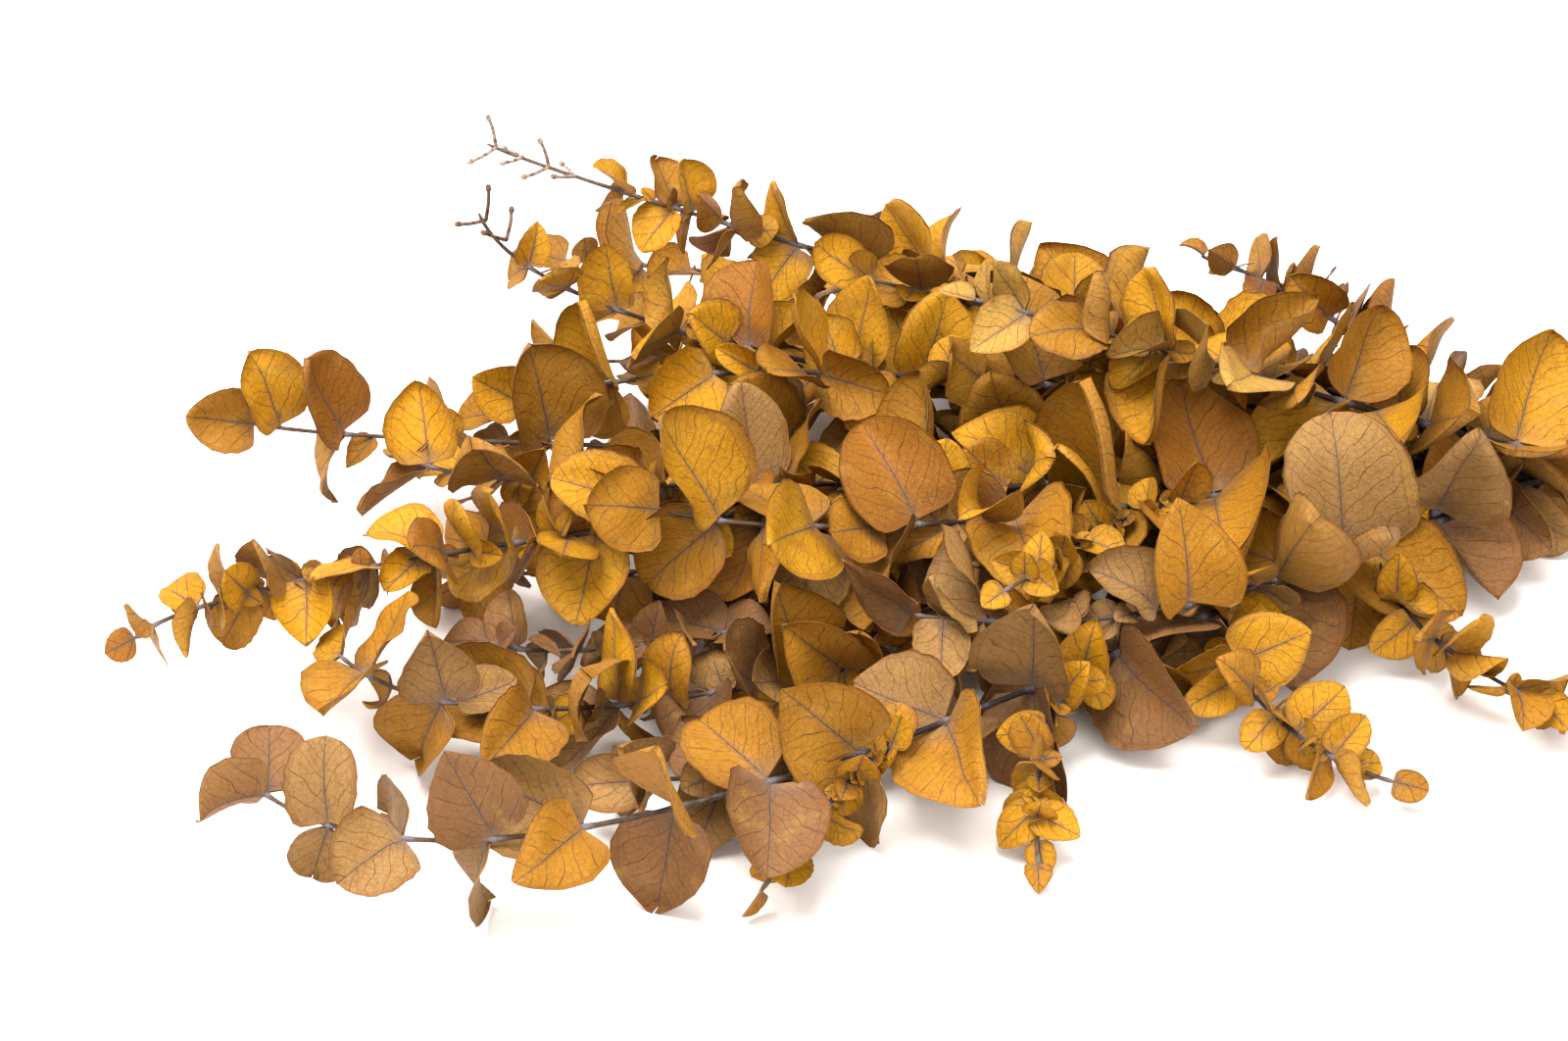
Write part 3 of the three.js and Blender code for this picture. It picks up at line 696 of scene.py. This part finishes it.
def blade_rows():
    stalk = [0, 0.035, STALK_SHARE]
    blade = STALK_SHARE + (1 - STALK_SHARE) * (1 - np.cos(np.linspace(0.13, 1, BLADE_ROWS) * math.pi)) / 2
    return np.concatenate([stalk, blade])


def width_shares(poses, u, across):
    """The width share of each corner, inside a finely crimped outline that is a little uneven."""
    phase = drawn(poses, 22, 0, 2 * math.pi) * np.sign(across)
    crimp = drawn(poses, 23, 0.008, 0.03) * np.sin(u * drawn(poses, 24, 26, 44) + phase)
    half = outline(u, drawn(poses, 21, 0.1, 0.95)) * (1 + crimp * np.abs(across))
    half = half * (1 + drawn(poses, 25, -0.1, 0.1) * across)
    least = STALK_HALF_WIDTH / stack(poses, "half_width") * (1 - smooth_step(0.85, 1, u) * 0.55)
    return across * np.maximum(half, least)


def warp(poses, u, across):
    """How far rolled margins, waves, buckles and the curl of the tip lift each corner."""
    length, edge = stack(poses, "length"), np.abs(across)
    phase = drawn(poses, 22, 0, 2 * math.pi)
    side_phase = phase + drawn(poses, 38, 0, 3) * np.sign(across)
    rolled = drawn(poses, 26, -0.1, 0.16) * edge**4 * smooth_step(0.1, 0.4, u)
    waved = drawn(poses, 27, 0.006, 0.042) * edge**2 * np.sin(u * drawn(poses, 28, 6, 14) + side_phase)
    buckled = drawn(poses, 29, -0.02, 0.02) * np.sin(u * 8 + across * 3 + phase) * smooth_step(0.1, 0.3, u)
    tip_curl = drawn(poses, 30, -0.1, 0.1) * smooth_step(0.62, 1, u) ** 1.5
    blade = smooth_step(STALK_SHARE, 0.2, u)
    return ((rolled + waved + buckled) * blade + tip_curl) * length * wildness(length)


def seat(poses, u, middle):
    """Starts each stalk on the smooth stem, and draws in the blades that would leave the box."""
    room = LEAF_BOX_ROOM + 0.1
    for index, pose in enumerate(poses):
        middle[index] += pose["shift"] * ((1 - u[index]) ** 2)[..., None]
        corners = middle[index].reshape(-1, 3)
        inward = np.maximum(low + room - corners.min(axis=0), 0)
        inward[2] = 0
        inward -= np.maximum(corners.max(axis=0) - high + room, 0)
        middle[index] += inward * smooth_step(0, 0.35, u[index])[..., None]


def leaf_shades(poses, mix_name, u, edge):
    """The colours of the blades' upper and lower faces, stained at the foot and the margin."""
    foot_stain = drawn(poses, 33, 0.15, 0.75) * (1 - smooth_step(0.05, 0.34, u + 0.08 * edge))
    rim_stain = drawn(poses, 34, 0.1, 0.75) * smooth_step(0.76, 1, edge)
    tint = mix(leaf_tints(poses, mix_name), LEAF_BASE, foot_stain[..., None])
    tint = mix(tint, MARGIN, rim_stain[..., None])
    return tint, mix(tint, UNDERSIDE, drawn(poses, 35, 0.15, 0.5)[..., None])


def leaf_faces(count, rows, columns):
    """The quads of some blades. The corners of all their upper faces come before the lower ones."""
    index = np.arange(rows * columns).reshape(rows, columns)
    quads = np.stack([index[:-1, :-1], index[:-1, 1:], index[1:, 1:], index[1:, :-1]], -1).reshape(-1, 4)
    rim = np.concatenate([index[:, 0], index[-1, 1:], index[-2::-1, -1], index[0, -2:0:-1]])
    after = np.roll(rim, -1)
    back = index.size * count
    one = np.concatenate([quads[:, ::-1], quads + back, np.stack([rim, after, after + back, rim + back], -1)])
    return (one[None] + np.arange(count)[:, None, None] * index.size).reshape(-1, 4)


def leaves_mesh(groups):
    """All the fine leaves of a stem as arrays: points, faces, colours, places and extras."""
    points, faces, tints, places, extras, start = [], [], [], [], [], 0
    rows = blade_rows()
    columns = np.sin(np.linspace(-1, 1, BLADE_COLUMNS + 1) * math.pi / 2)
    for poses, mix_name in groups:
        if not poses:
            continue
        shape = (len(poses), len(rows), len(columns))
        u = np.broadcast_to(rows[None, :, None], shape)
        across = np.broadcast_to(columns[None, None, :], shape)
        edge = np.abs(across)
        w = width_shares(poses, u, across)

        # The lobes of the base reach back past the stalk.
        base = smooth_step(STALK_SHARE, 0.12, u) * (1 - smooth_step(0.12, 0.5, u))
        u = u - drawn(poses, 37, 0, 0.11) * edge**2 * base

        # A blade thins to its margin and tip and thickens to its stalk, and nothing sinks in the floor.
        middle, normals = blade_points(poses, u, w, warp(poses, u, across))
        seat(poses, u, middle)
        thickness = LEAF_THICKNESS * (1 - 0.55 * edge**4)
        thickness = thickness + STALK_THICKNESS * (1 - smooth_step(0.03, 0.14, u))
        thickness = thickness * (1 - 0.5 * smooth_step(0.9, 1, u))
        middle[..., 2] = np.maximum(middle[..., 2], thickness / 2 + 0.05)
        middle[..., :2] = np.maximum(middle[..., :2], low[:2] + LEAF_BOX_ROOM)
        middle = np.minimum(middle, high - LEAF_BOX_ROOM)

        seeds = drawn(poses, 36, 0, 90) * np.ones(shape)
        place = np.stack([u * stack(poses, "length"), w * stack(poses, "half_width"), seeds], -1)
        for side, shade in enumerate(leaf_shades(poses, mix_name, u, edge)):
            corners = middle + normals * ((0.5 - side) * thickness)[..., None]
            corners[..., 2] = np.maximum(corners[..., 2], BOX_ROOM)
            extra = np.stack([u, across, np.full(shape, float(side))], -1)
            for values, own in zip((points, tints, places, extras), (corners, shade, place, extra)):
                values.append(own.reshape(-1, 3))
        faces.append(leaf_faces(*shape) + start)
        start += 2 * u.size
    arrays = [np.concatenate(values) for values in (points, faces, tints, places, extras)]
    return arrays[0], arrays[1].tolist(), *arrays[2:]


def tube_faces(rings, sides):
    """The quads between the rings of a tube."""
    faces = []
    for start in range(0, (rings - 1) * sides, sides):
        for corner in range(sides):
            a, b = start + corner, start + (corner + 1) % sides
            faces.append([a, b, b + sides, a + sides])
    return faces


def route_tube(route, distances, radii, sides):
    """A closed tube along a route as points and faces, with its rings in order."""
    angles = np.arange(sides) / sides * 2 * math.pi
    rings = []
    for distance, radius in zip(distances, radii):
        _, side, rise = route.frame_at(distance, route.smooth_at)
        ring = np.outer(np.cos(angles), side) + np.outer(np.sin(angles), rise)
        rings.append(route.smooth_at(distance) + radius * ring)
    return capped(np.concatenate(rings), tube_faces(len(rings), sides), sides)


def of_rings(values, sides, ends=(0, 0)):
    """The value of its ring for each corner of a closed tube, and those of its two ends."""
    return np.append(np.repeat(values, sides), ends)


def round_rings(count, sides):
    """How far round its ring each corner of a closed tube lies."""
    return np.append(np.tile(np.arange(sides) / sides, count), [0, 0])


def capped(points, faces, sides):
    """A tube with both its ends closed."""
    count = len(points)
    first, last = points[:sides].mean(axis=0), points[-sides:].mean(axis=0)
    points = np.vstack([points, first, last])
    for corner in range(sides):
        after = (corner + 1) % sides
        faces.append([after, corner, count])
        faces.append([count - sides + corner, count - sides + after, count + 1])
    return points, faces


def wood_pieces(shoot):
    """The wood of one shoot: points, faces, colours, places and extras, with its nodes swollen."""
    route = shoot["route"]
    count = max(6, int(route.length / WOOD_STEP))
    distances = np.linspace(0, route.length, count)
    swell = np.zeros(count)
    for node in sorted({round(pose["distance"], 1) for pose in shoot["poses"]}):
        swell = np.maximum(swell, np.exp(-(((distances - node) / NODE_LENGTH) ** 2)))
    seed = draw(shoot["key"], 41) * 100
    radii = mix(shoot["foot_radius"], STEM_TIP_RADIUS, distances / route.length) * 0.95
    radii = radii * (1 + NODE_SWELL * swell + 0.05 * np.sin(distances * 0.31 + seed))
    radii[-1] *= 0.5
    points, faces = route_tube(route, distances, radii, WOOD_SIDES)
    along = of_rings(distances, WOOD_SIDES)
    young = smooth_step(0.55, 1, along / route.length)[:, None]
    tints = mix(BARK, mix(BARK, linear(*shoot["twiglet"]), 0.35), young) * np.ones((len(points), 3))
    if route.straight > 0:
        tints[-2] = CUT_WOOD
    places = np.stack([along, round_rings(count, WOOD_SIDES) * 6, np.full(len(points), seed)], -1)
    lint = of_rings(swell, WOOD_SIDES)
    return points, faces, tints, places, np.stack([lint, lint * 0, lint * 0], -1)


def twiglet_pieces(shoot, owner):
    """The bare twiglets in pairs on the last stretch of a stem, each with the scar of a leaf."""
    route, colour, pieces = shoot["route"], linear(*shoot["twiglet"]), []
    for index in range(shoot["twiglets"] * 2):
        distance = route.length - TWIGLET_GAP * (0.35 + index // 2)
        tangent, side, rise = route.frame_at(distance)
        turn = math.radians(index * 180 + index // 2 * 90 + spread(owner, index, 60))
        outward = between(rise, side, turn)
        root = route.point_at(distance)
        end = root + outward * TWIGLET_LENGTH + tangent * TWIGLET_LENGTH * 0.6
        middle = mix(root, end, 0.5) + outward * 1.5
        small = Route(root, root, middle, middle, end, TWIGLET_LENGTH)
        distances = np.linspace(0, small.length, 12)
        knob = np.exp(-(((distances - small.length + 0.9) / 1.0) ** 2))
        radii = TWIGLET_RADIUS * (1.55 - 0.35 * distances / small.length + 1.3 * knob)
        points, faces = route_tube(small, distances, radii, TWIGLET_SIDES)
        count = len(points)
        places = np.stack([np.arange(count) * 0.2, np.zeros(count), np.full(count, index * 7.0)], -1)
        pieces.append((points, faces, np.tile(colour, (count, 1)), places, np.zeros((count, 3))))
    return pieces


def joined(pieces):
    """Several pieces as one set of arrays."""
    faces, start = [], 0
    for points, own, *_ in pieces:
        faces.extend([[corner + start for corner in face] for face in own])
        start += len(points)
    arrays = [np.concatenate([piece[index] for piece in pieces]) for index in (0, 2, 3, 4)]
    return arrays[0], faces, *arrays[1:]


# ------------------------ materials


class Paint:
    """A material whose nodes are added one after the other."""

    def __init__(self, name):
        self.material = bpy.data.materials.new(name)
        self.material.use_nodes = True
        self.tree = self.material.node_tree
        self.shader = self.tree.nodes["Principled BSDF"]

    def node(self, kind, inputs=None, **settings):
        node = self.tree.nodes.new(kind)
        for name, value in settings.items():
            setattr(node, name, value)
        for name, value in (inputs or {}).items():
            self.feed(node.inputs[name], value)
        return node

    def feed(self, socket, value):
        if isinstance(value, bpy.types.NodeSocket):
            self.tree.links.new(value, socket)
        elif socket.type == "RGBA":
            socket.default_value = (*value, 1)
        else:
            socket.default_value = value

    def math(self, operation, *values):
        return self.node("ShaderNodeMath", dict(enumerate(values)), operation=operation).outputs[0]

    def plus(self, a, b):
        return self.math("ADD", a, b)

    def less(self, a, b):
        return self.math("SUBTRACT", a, b)

    def times(self, a, b):
        return self.math("MULTIPLY", a, b)

    def absolute(self, value):
        return self.math("ABSOLUTE", value)

    def blend(self, share, a, b):
        node = self.node("ShaderNodeMix", data_type="RGBA")
        for index, value in ((0, share), (6, a), (7, b)):
            self.feed(node.inputs[index], value)
        return node.outputs[2]

    def layered(self, *layers):
        """The tint of a piece under other colours, each laid over the last by its share."""
        colour = self.attribute("tint", "Color")
        for share, layer in layers:
            colour = self.blend(share, colour, layer)
        return colour

    def band(self, value, low_value, high_value, low_out=0.0, high_out=1.0):
        """A smooth step between two values."""
        inputs = {"Value": value, "From Min": low_value, "From Max": high_value,
                  "To Min": low_out, "To Max": high_out}
        return self.node("ShaderNodeMapRange", inputs, interpolation_type="SMOOTHSTEP").outputs[0]

    def near(self, value, least, most):
        """One up to the least value, falling to nothing at the most."""
        return self.less(1.0, self.band(value, least, most))

    def attribute(self, name, output="Vector"):
        return self.node("ShaderNodeAttribute", attribute_name=name).outputs[output]

    def axes(self, vector):
        return self.node("ShaderNodeSeparateXYZ", {0: vector}).outputs

    def noise(self, vector, scale, detail=3.0, roughness=0.55):
        inputs = {"Vector": vector, "Scale": scale, "Detail": detail, "Roughness": roughness}
        return self.node("ShaderNodeTexNoise", inputs).outputs["Fac"]

    def streaks(self, axes, stretch, scale=1.0, detail=3.0, roughness=0.55):
        """Noise over the place on a piece, drawn out along it and round it."""
        along, around, seed = axes
        inputs = {0: self.times(along, stretch[0]), 1: self.times(around, stretch[1]), 2: seed}
        drawn_out = self.node("ShaderNodeCombineXYZ", inputs).outputs[0]
        return self.noise(drawn_out, scale, detail, roughness)

    def net(self, vector, scale):
        """The distance to the edge of the nearest cell."""
        inputs = {"Vector": vector, "Scale": scale}
        return self.node("ShaderNodeTexVoronoi", inputs, feature="DISTANCE_TO_EDGE").outputs["Distance"]

    def bump(self, height, strength):
        inputs = {"Height": height, "Strength": strength, "Distance": BUMP_DEPTH}
        return self.node("ShaderNodeBump", inputs).outputs[0]

    def surface(self, **values):
        for name, value in values.items():
            self.feed(self.shader.inputs[name.replace("_", " ")], value)
        return self.material


def leaf_material():
    """Papery leaf: pinnate veins that meet near the margin, a fine net, specks, blotches and a dry bloom."""
    paint = Paint("dried_leaf")
    times, band, near = paint.times, paint.band, paint.near
    place = paint.attribute("place")
    along, aside, seed = paint.axes(place)
    share, rim, back = paint.axes(paint.attribute("extras"))
    away, rim_away = paint.absolute(aside), paint.absolute(rim)

    # The midrib tapers from the stalk to the tip, in a grey stain that is widest at the foot.
    midrib = near(away, 0.05, paint.math("MULTIPLY_ADD", share, -0.24, 0.38))
    stain = near(away, 0.0, paint.math("MULTIPLY_ADD", share, -3.4, 3.6))

    # Laterals leave the midrib at even steps, wander and bend to the tip, with thinner ones between
    # them, and meet in a loop inside the margin.
    wander = paint.streaks((along, aside, seed), (0.11, 0.11), detail=0.6)
    bend = times(paint.math("POWER", paint.math("MAXIMUM", away, 0.01), 0.9), 1.25)
    phase = times(paint.less(along, bend), LATERALS_PER_MM)
    phase = paint.plus(phase, times(wander, 1.25))
    phase = paint.plus(phase, times(paint.math("SIGN", aside), 0.19))
    phase = paint.plus(phase, 40.0)

    def lines(value, width):
        tooth = paint.absolute(paint.less(paint.math("FRACT", value), 0.5))
        return near(tooth, width * 0.3, width)

    inside = band(rim_away, 0.98, 0.8)
    laterals = times(lines(phase, 0.034), inside)
    thinner = times(lines(paint.plus(phase, 0.5), 0.022), inside)
    loop_place = paint.math("MULTIPLY_ADD", wander, 0.16, 0.78)
    loop = near(paint.absolute(paint.less(rim_away, loop_place)), 0.004, 0.016)
    veins = paint.math("MAXIMUM", laterals, times(paint.math("MAXIMUM", loop, thinner), 0.45))

    # The net between them.
    ripple = paint.node("ShaderNodeTexNoise", {"Vector": place, "Scale": 0.5, "Detail": 2.0}).outputs["Color"]
    bent = paint.node("ShaderNodeVectorMath", {0: ripple, 1: (1.8, 1.8, 0.0), 2: place},
                      operation="MULTIPLY_ADD").outputs[0]
    net = times(near(paint.net(bent, 0.36), 0.008, 0.045), 0.5)
    fine_net = times(near(paint.net(bent, 1.0), 0.008, 0.07), 0.2)
    veins = paint.math("MAXIMUM", veins, paint.math("MAXIMUM", net, fine_net))
    veins = times(veins, band(share, 0.06, 0.14))

    # Colour, from broad blotches to specks.
    blotch = paint.noise(place, 0.06, 4.0, 0.6)
    mottle = paint.noise(place, 0.45, 4.0, 0.65)
    specks = band(paint.noise(place, 3.0, 2.0, 0.6), 0.64, 0.72)
    colour = paint.layered(
        (band(blotch, 0.52, 0.74, 0.0, 0.45), ORANGE * 0.85),
        (band(blotch, 0.46, 0.3, 0.0, 0.35), PALE),
        (band(mottle, 0.44, 0.68, 0.0, 0.16), BROWN),
        (times(specks, 0.45), VEIN),
        (times(stain, 0.42), LEAF_BASE),
        (times(veins, band(mottle, 0.25, 0.6, 0.55, 0.88)), VEIN),
        (times(midrib, paint.math("MULTIPLY_ADD", share, -0.3, 0.85)),
         paint.blend(band(share, 0.05, 0.34), LEAF_BASE, VEIN)))

    # Veins stand out below and lie in grooves above, and the dry blade is finely wrinkled.
    relief = paint.plus(midrib, times(veins, 0.7))
    relief = times(relief, paint.math("MULTIPLY_ADD", back, 2.0, -1.0))
    wrinkle = times(paint.noise(place, 0.7, 5.0, 0.6), 1.8)
    normal = paint.bump(paint.plus(relief, wrinkle), 0.6)
    rough = band(mottle, 0.3, 0.7, 0.5, 0.7)
    return paint.surface(Base_Color=colour, Roughness=rough, Normal=normal, Specular_IOR_Level=0.2)


def wood_material():
    """Bark, dark purple-brown with fine grain along it, and pale lint that gathers at the nodes."""
    paint = Paint("eucalyptus_bark")
    axes = paint.axes(paint.attribute("place"))
    at_node = paint.axes(paint.attribute("extras"))[0]
    grain = paint.streaks(axes, (0.35, 2.6), detail=4.0, roughness=0.6)
    patch = paint.streaks(axes, (0.14, 0.35))
    fleck = paint.streaks(axes, (1.0, 1.6), 1.5, 3.0, 0.7)
    lint = paint.plus(paint.band(patch, 0.5, 0.72, 0.0, 0.32), paint.times(at_node, 0.85))
    lint = paint.times(lint, paint.band(fleck, 0.34, 0.58, 0.25, 1.0))
    colour = paint.layered((paint.band(grain, 0.42, 0.62, 0.0, 0.75), BARK_DARK),
                           (paint.math("MINIMUM", lint, 0.9), LINT))
    normal = paint.bump(paint.plus(grain, paint.times(fleck, 0.6)), 0.7)
    rough = paint.band(lint, 0.0, 0.8, 0.65, 0.9)
    return paint.surface(Base_Color=colour, Roughness=rough, Normal=normal, Specular_IOR_Level=0.2)


def twine_material():
    """Jute: fibres along each ply, pale and dark."""
    paint = Paint("jute_twine")
    axes = paint.axes(paint.attribute("place"))
    fibre = paint.streaks(axes, (0.5, 9.0), detail=4.0, roughness=0.7)
    patch = paint.streaks(axes, (1.0, 1.0), 0.4, 2.0)
    colour = paint.layered((paint.band(fibre, 0.35, 0.65, 0.0, 0.8), TWINE * 0.45),
                           (paint.band(patch, 0.5, 0.7, 0.0, 0.4), TWINE_PALE))
    normal = paint.bump(fibre, 0.8)
    return paint.surface(Base_Color=colour, Roughness=0.9, Normal=normal, Sheen_Weight=0.3)


LEAF = leaf_material()
WOOD = wood_material()
JUTE = twine_material()


# ------------------------ the pieces

for owner, name in enumerate(shoots):
    groups, wood, twiglets = [], [], []
    for shoot in shoots[name]:
        route, poses = shoot["route"], shoot["poses"] + shoot["fill"]
        for pose in poses:
            pose["shift"] = route.smooth_at(pose["distance"]) - route.point_at(pose["distance"])
        groups.append((poses, shoot["mix"]))
        wood.append(wood_pieces(shoot))
        twiglets += twiglet_pieces(shoot, owner)
    leaves = make_object(f"{name}_leaves", *leaves_mesh(groups), LEAF)
    bark = make_object(f"{name}_wood", *joined(wood + twiglets), WOOD)
    for piece in (leaves, bark):
        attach(piece, "root")
        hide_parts(name)


def cord_piece(centres, radius, seed):
    """A two-ply cord along a line: each ring is a pair of lobes that turn as the cord goes on."""
    centres = np.asarray(centres)
    run = np.concatenate([[0], np.cumsum(np.linalg.norm(np.diff(centres, axis=0), axis=1))])
    angles = np.arange(CORD_SIDES) / CORD_SIDES * 2 * math.pi
    rings, side = [], UP + 0.013
    for index, centre in enumerate(centres):
        after, before = centres[min(index + 1, len(centres) - 1)], centres[max(index - 1, 0)]
        tangent = unit(after - before)
        side = square_to(side, tangent)
        rise = np.cross(side, tangent)
        lobes = radius * (0.66 + 0.34 * np.abs(np.cos(angles - run[index] * CORD_TWIST)))
        rings.append(centre + np.outer(np.cos(angles) * lobes, side) + np.outer(np.sin(angles) * lobes, rise))
    # The quads start at their second corner, which settles the diagonals that split them.
    faces = [face[1:] + face[:1] for face in tube_faces(len(rings), CORD_SIDES)]
    points, faces = capped(np.concatenate(rings), faces, CORD_SIDES)
    along = of_rings(run, CORD_SIDES, (0, run[-1]))
    places = np.stack([along, round_rings(len(rings), CORD_SIDES), np.full(len(points), seed)], -1)
    return points, faces, np.tile(TWINE, (len(points), 1)), places, np.zeros((len(points), 3))


def knot_point(angle):
    """A point of a trefoil, squeezed to lie on the bundle."""
    turn = np.array([math.sin(angle) + 2 * math.sin(2 * angle),
                     math.cos(angle) - 2 * math.cos(2 * angle), -math.sin(3 * angle)])
    return 1.5 * turn * [0.3, 0.42, 0.5]


def tie_pieces():
    """Turns of twine side by side round the bundle, a knot on top and two tails."""
    along = unit(NECK - CUT_END)
    across = unit(np.cross(UP, along))
    above = np.cross(along, across)
    turns = []
    for angle in np.linspace(0, TIE_TURNS * 2 * math.pi, TIE_TURNS * 90):
        place = (angle / (2 * math.pi) - TIE_TURNS / 2) * 2 * TWINE_RADIUS
        outward = between(above, across, angle)
        turns.append(tie_centre + along * place + outward * (TIE_INNER_RADIUS + TWINE_RADIUS))
    pieces = [cord_piece(turns, TWINE_RADIUS, 3.0)]
    knot_centre = tie_centre + UP * (TIE_INNER_RADIUS + 1.6 * TWINE_RADIUS)
    knot = [knot_centre + knot_point(angle) for angle in np.linspace(0, 2 * math.pi, 90)]
    pieces.append(cord_piece(knot, TWINE_RADIUS * 0.92, 7.0))
    for way in (-1, 1):
        end = knot_centre + np.array([way * TAIL_REACH * 0.3, way * TAIL_REACH, -TAIL_DROP]) * 0.98
        bow = knot_centre + np.array([way * 2, way * TAIL_REACH * 0.6, TAIL_DROP * 0.4])
        tail = sweep_points((knot_centre, bow, bow, end), np.linspace(0, 1, 40))
        pieces.append(cord_piece(tail, TWINE_RADIUS * 0.9, 11.0 + way))
    return pieces


tie = make_object("twine_tie_cord", *joined(tie_pieces()), JUTE)
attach(tie, "root")
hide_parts("twine_tie")


# ------------------------ floor, light and camera


def floor():
    """A plain white surface with the faintest grain."""
    mesh = bpy.data.meshes.new("floor")
    half = FLOOR_SIZE / 2
    corners = [(-half, -half, 0), (half, -half, 0), (half, half, 0), (-half, half, 0)]
    mesh.from_pydata(corners, [], [(0, 1, 2, 3)])
    paint = Paint("white_surface")
    grain = paint.noise(paint.node("ShaderNodeTexCoord").outputs["Object"], 60.0, 3.0)
    rough = paint.band(grain, 0.3, 0.7, 0.7, 0.85)
    mesh.materials.append(paint.surface(Base_Color=FLOOR_COLOUR, Roughness=rough))
    place_object("floor", mesh)


def area_light(name, place, size, power, colour):
    data = bpy.data.lights.new(name, "AREA")
    data.shape, data.size, data.energy, data.color = "DISK", size, power, colour
    light = place_object(name, data)
    light.location = place
    light.rotation_euler = (Vector(LIGHT_AIM) - Vector(place)).to_track_quat("-Z", "Y").to_euler()


def camera():
    data = bpy.data.cameras.new("camera")
    data.lens, data.sensor_width = FOCAL_LENGTH, SENSOR_WIDTH
    data.clip_start, data.clip_end = 0.05, 50
    eye = place_object("camera", data)
    back = np.array([0, -math.cos(VIEW_ELEVATION), math.sin(VIEW_ELEVATION)])
    target = Vector((VIEW_TARGET + origin) * MM)
    eye.location = target + Vector(back * VIEW_DISTANCE * MM)
    eye.rotation_euler = (-Vector(back)).to_track_quat("-Z", "Y").to_euler()
    bpy.context.scene.camera = eye


floor()
for light_name, light_values in LIGHTS.items():
    area_light(light_name, *light_values)
camera()

world = bpy.data.worlds.new("studio")
world.use_nodes = True
background = world.node_tree.nodes["Background"]
background.inputs["Color"].default_value = (1, 1, 1, 1)
background.inputs["Strength"].default_value = WORLD_STRENGTH
bpy.context.scene.world = world
bpy.context.scene.view_settings.view_transform = "Standard"
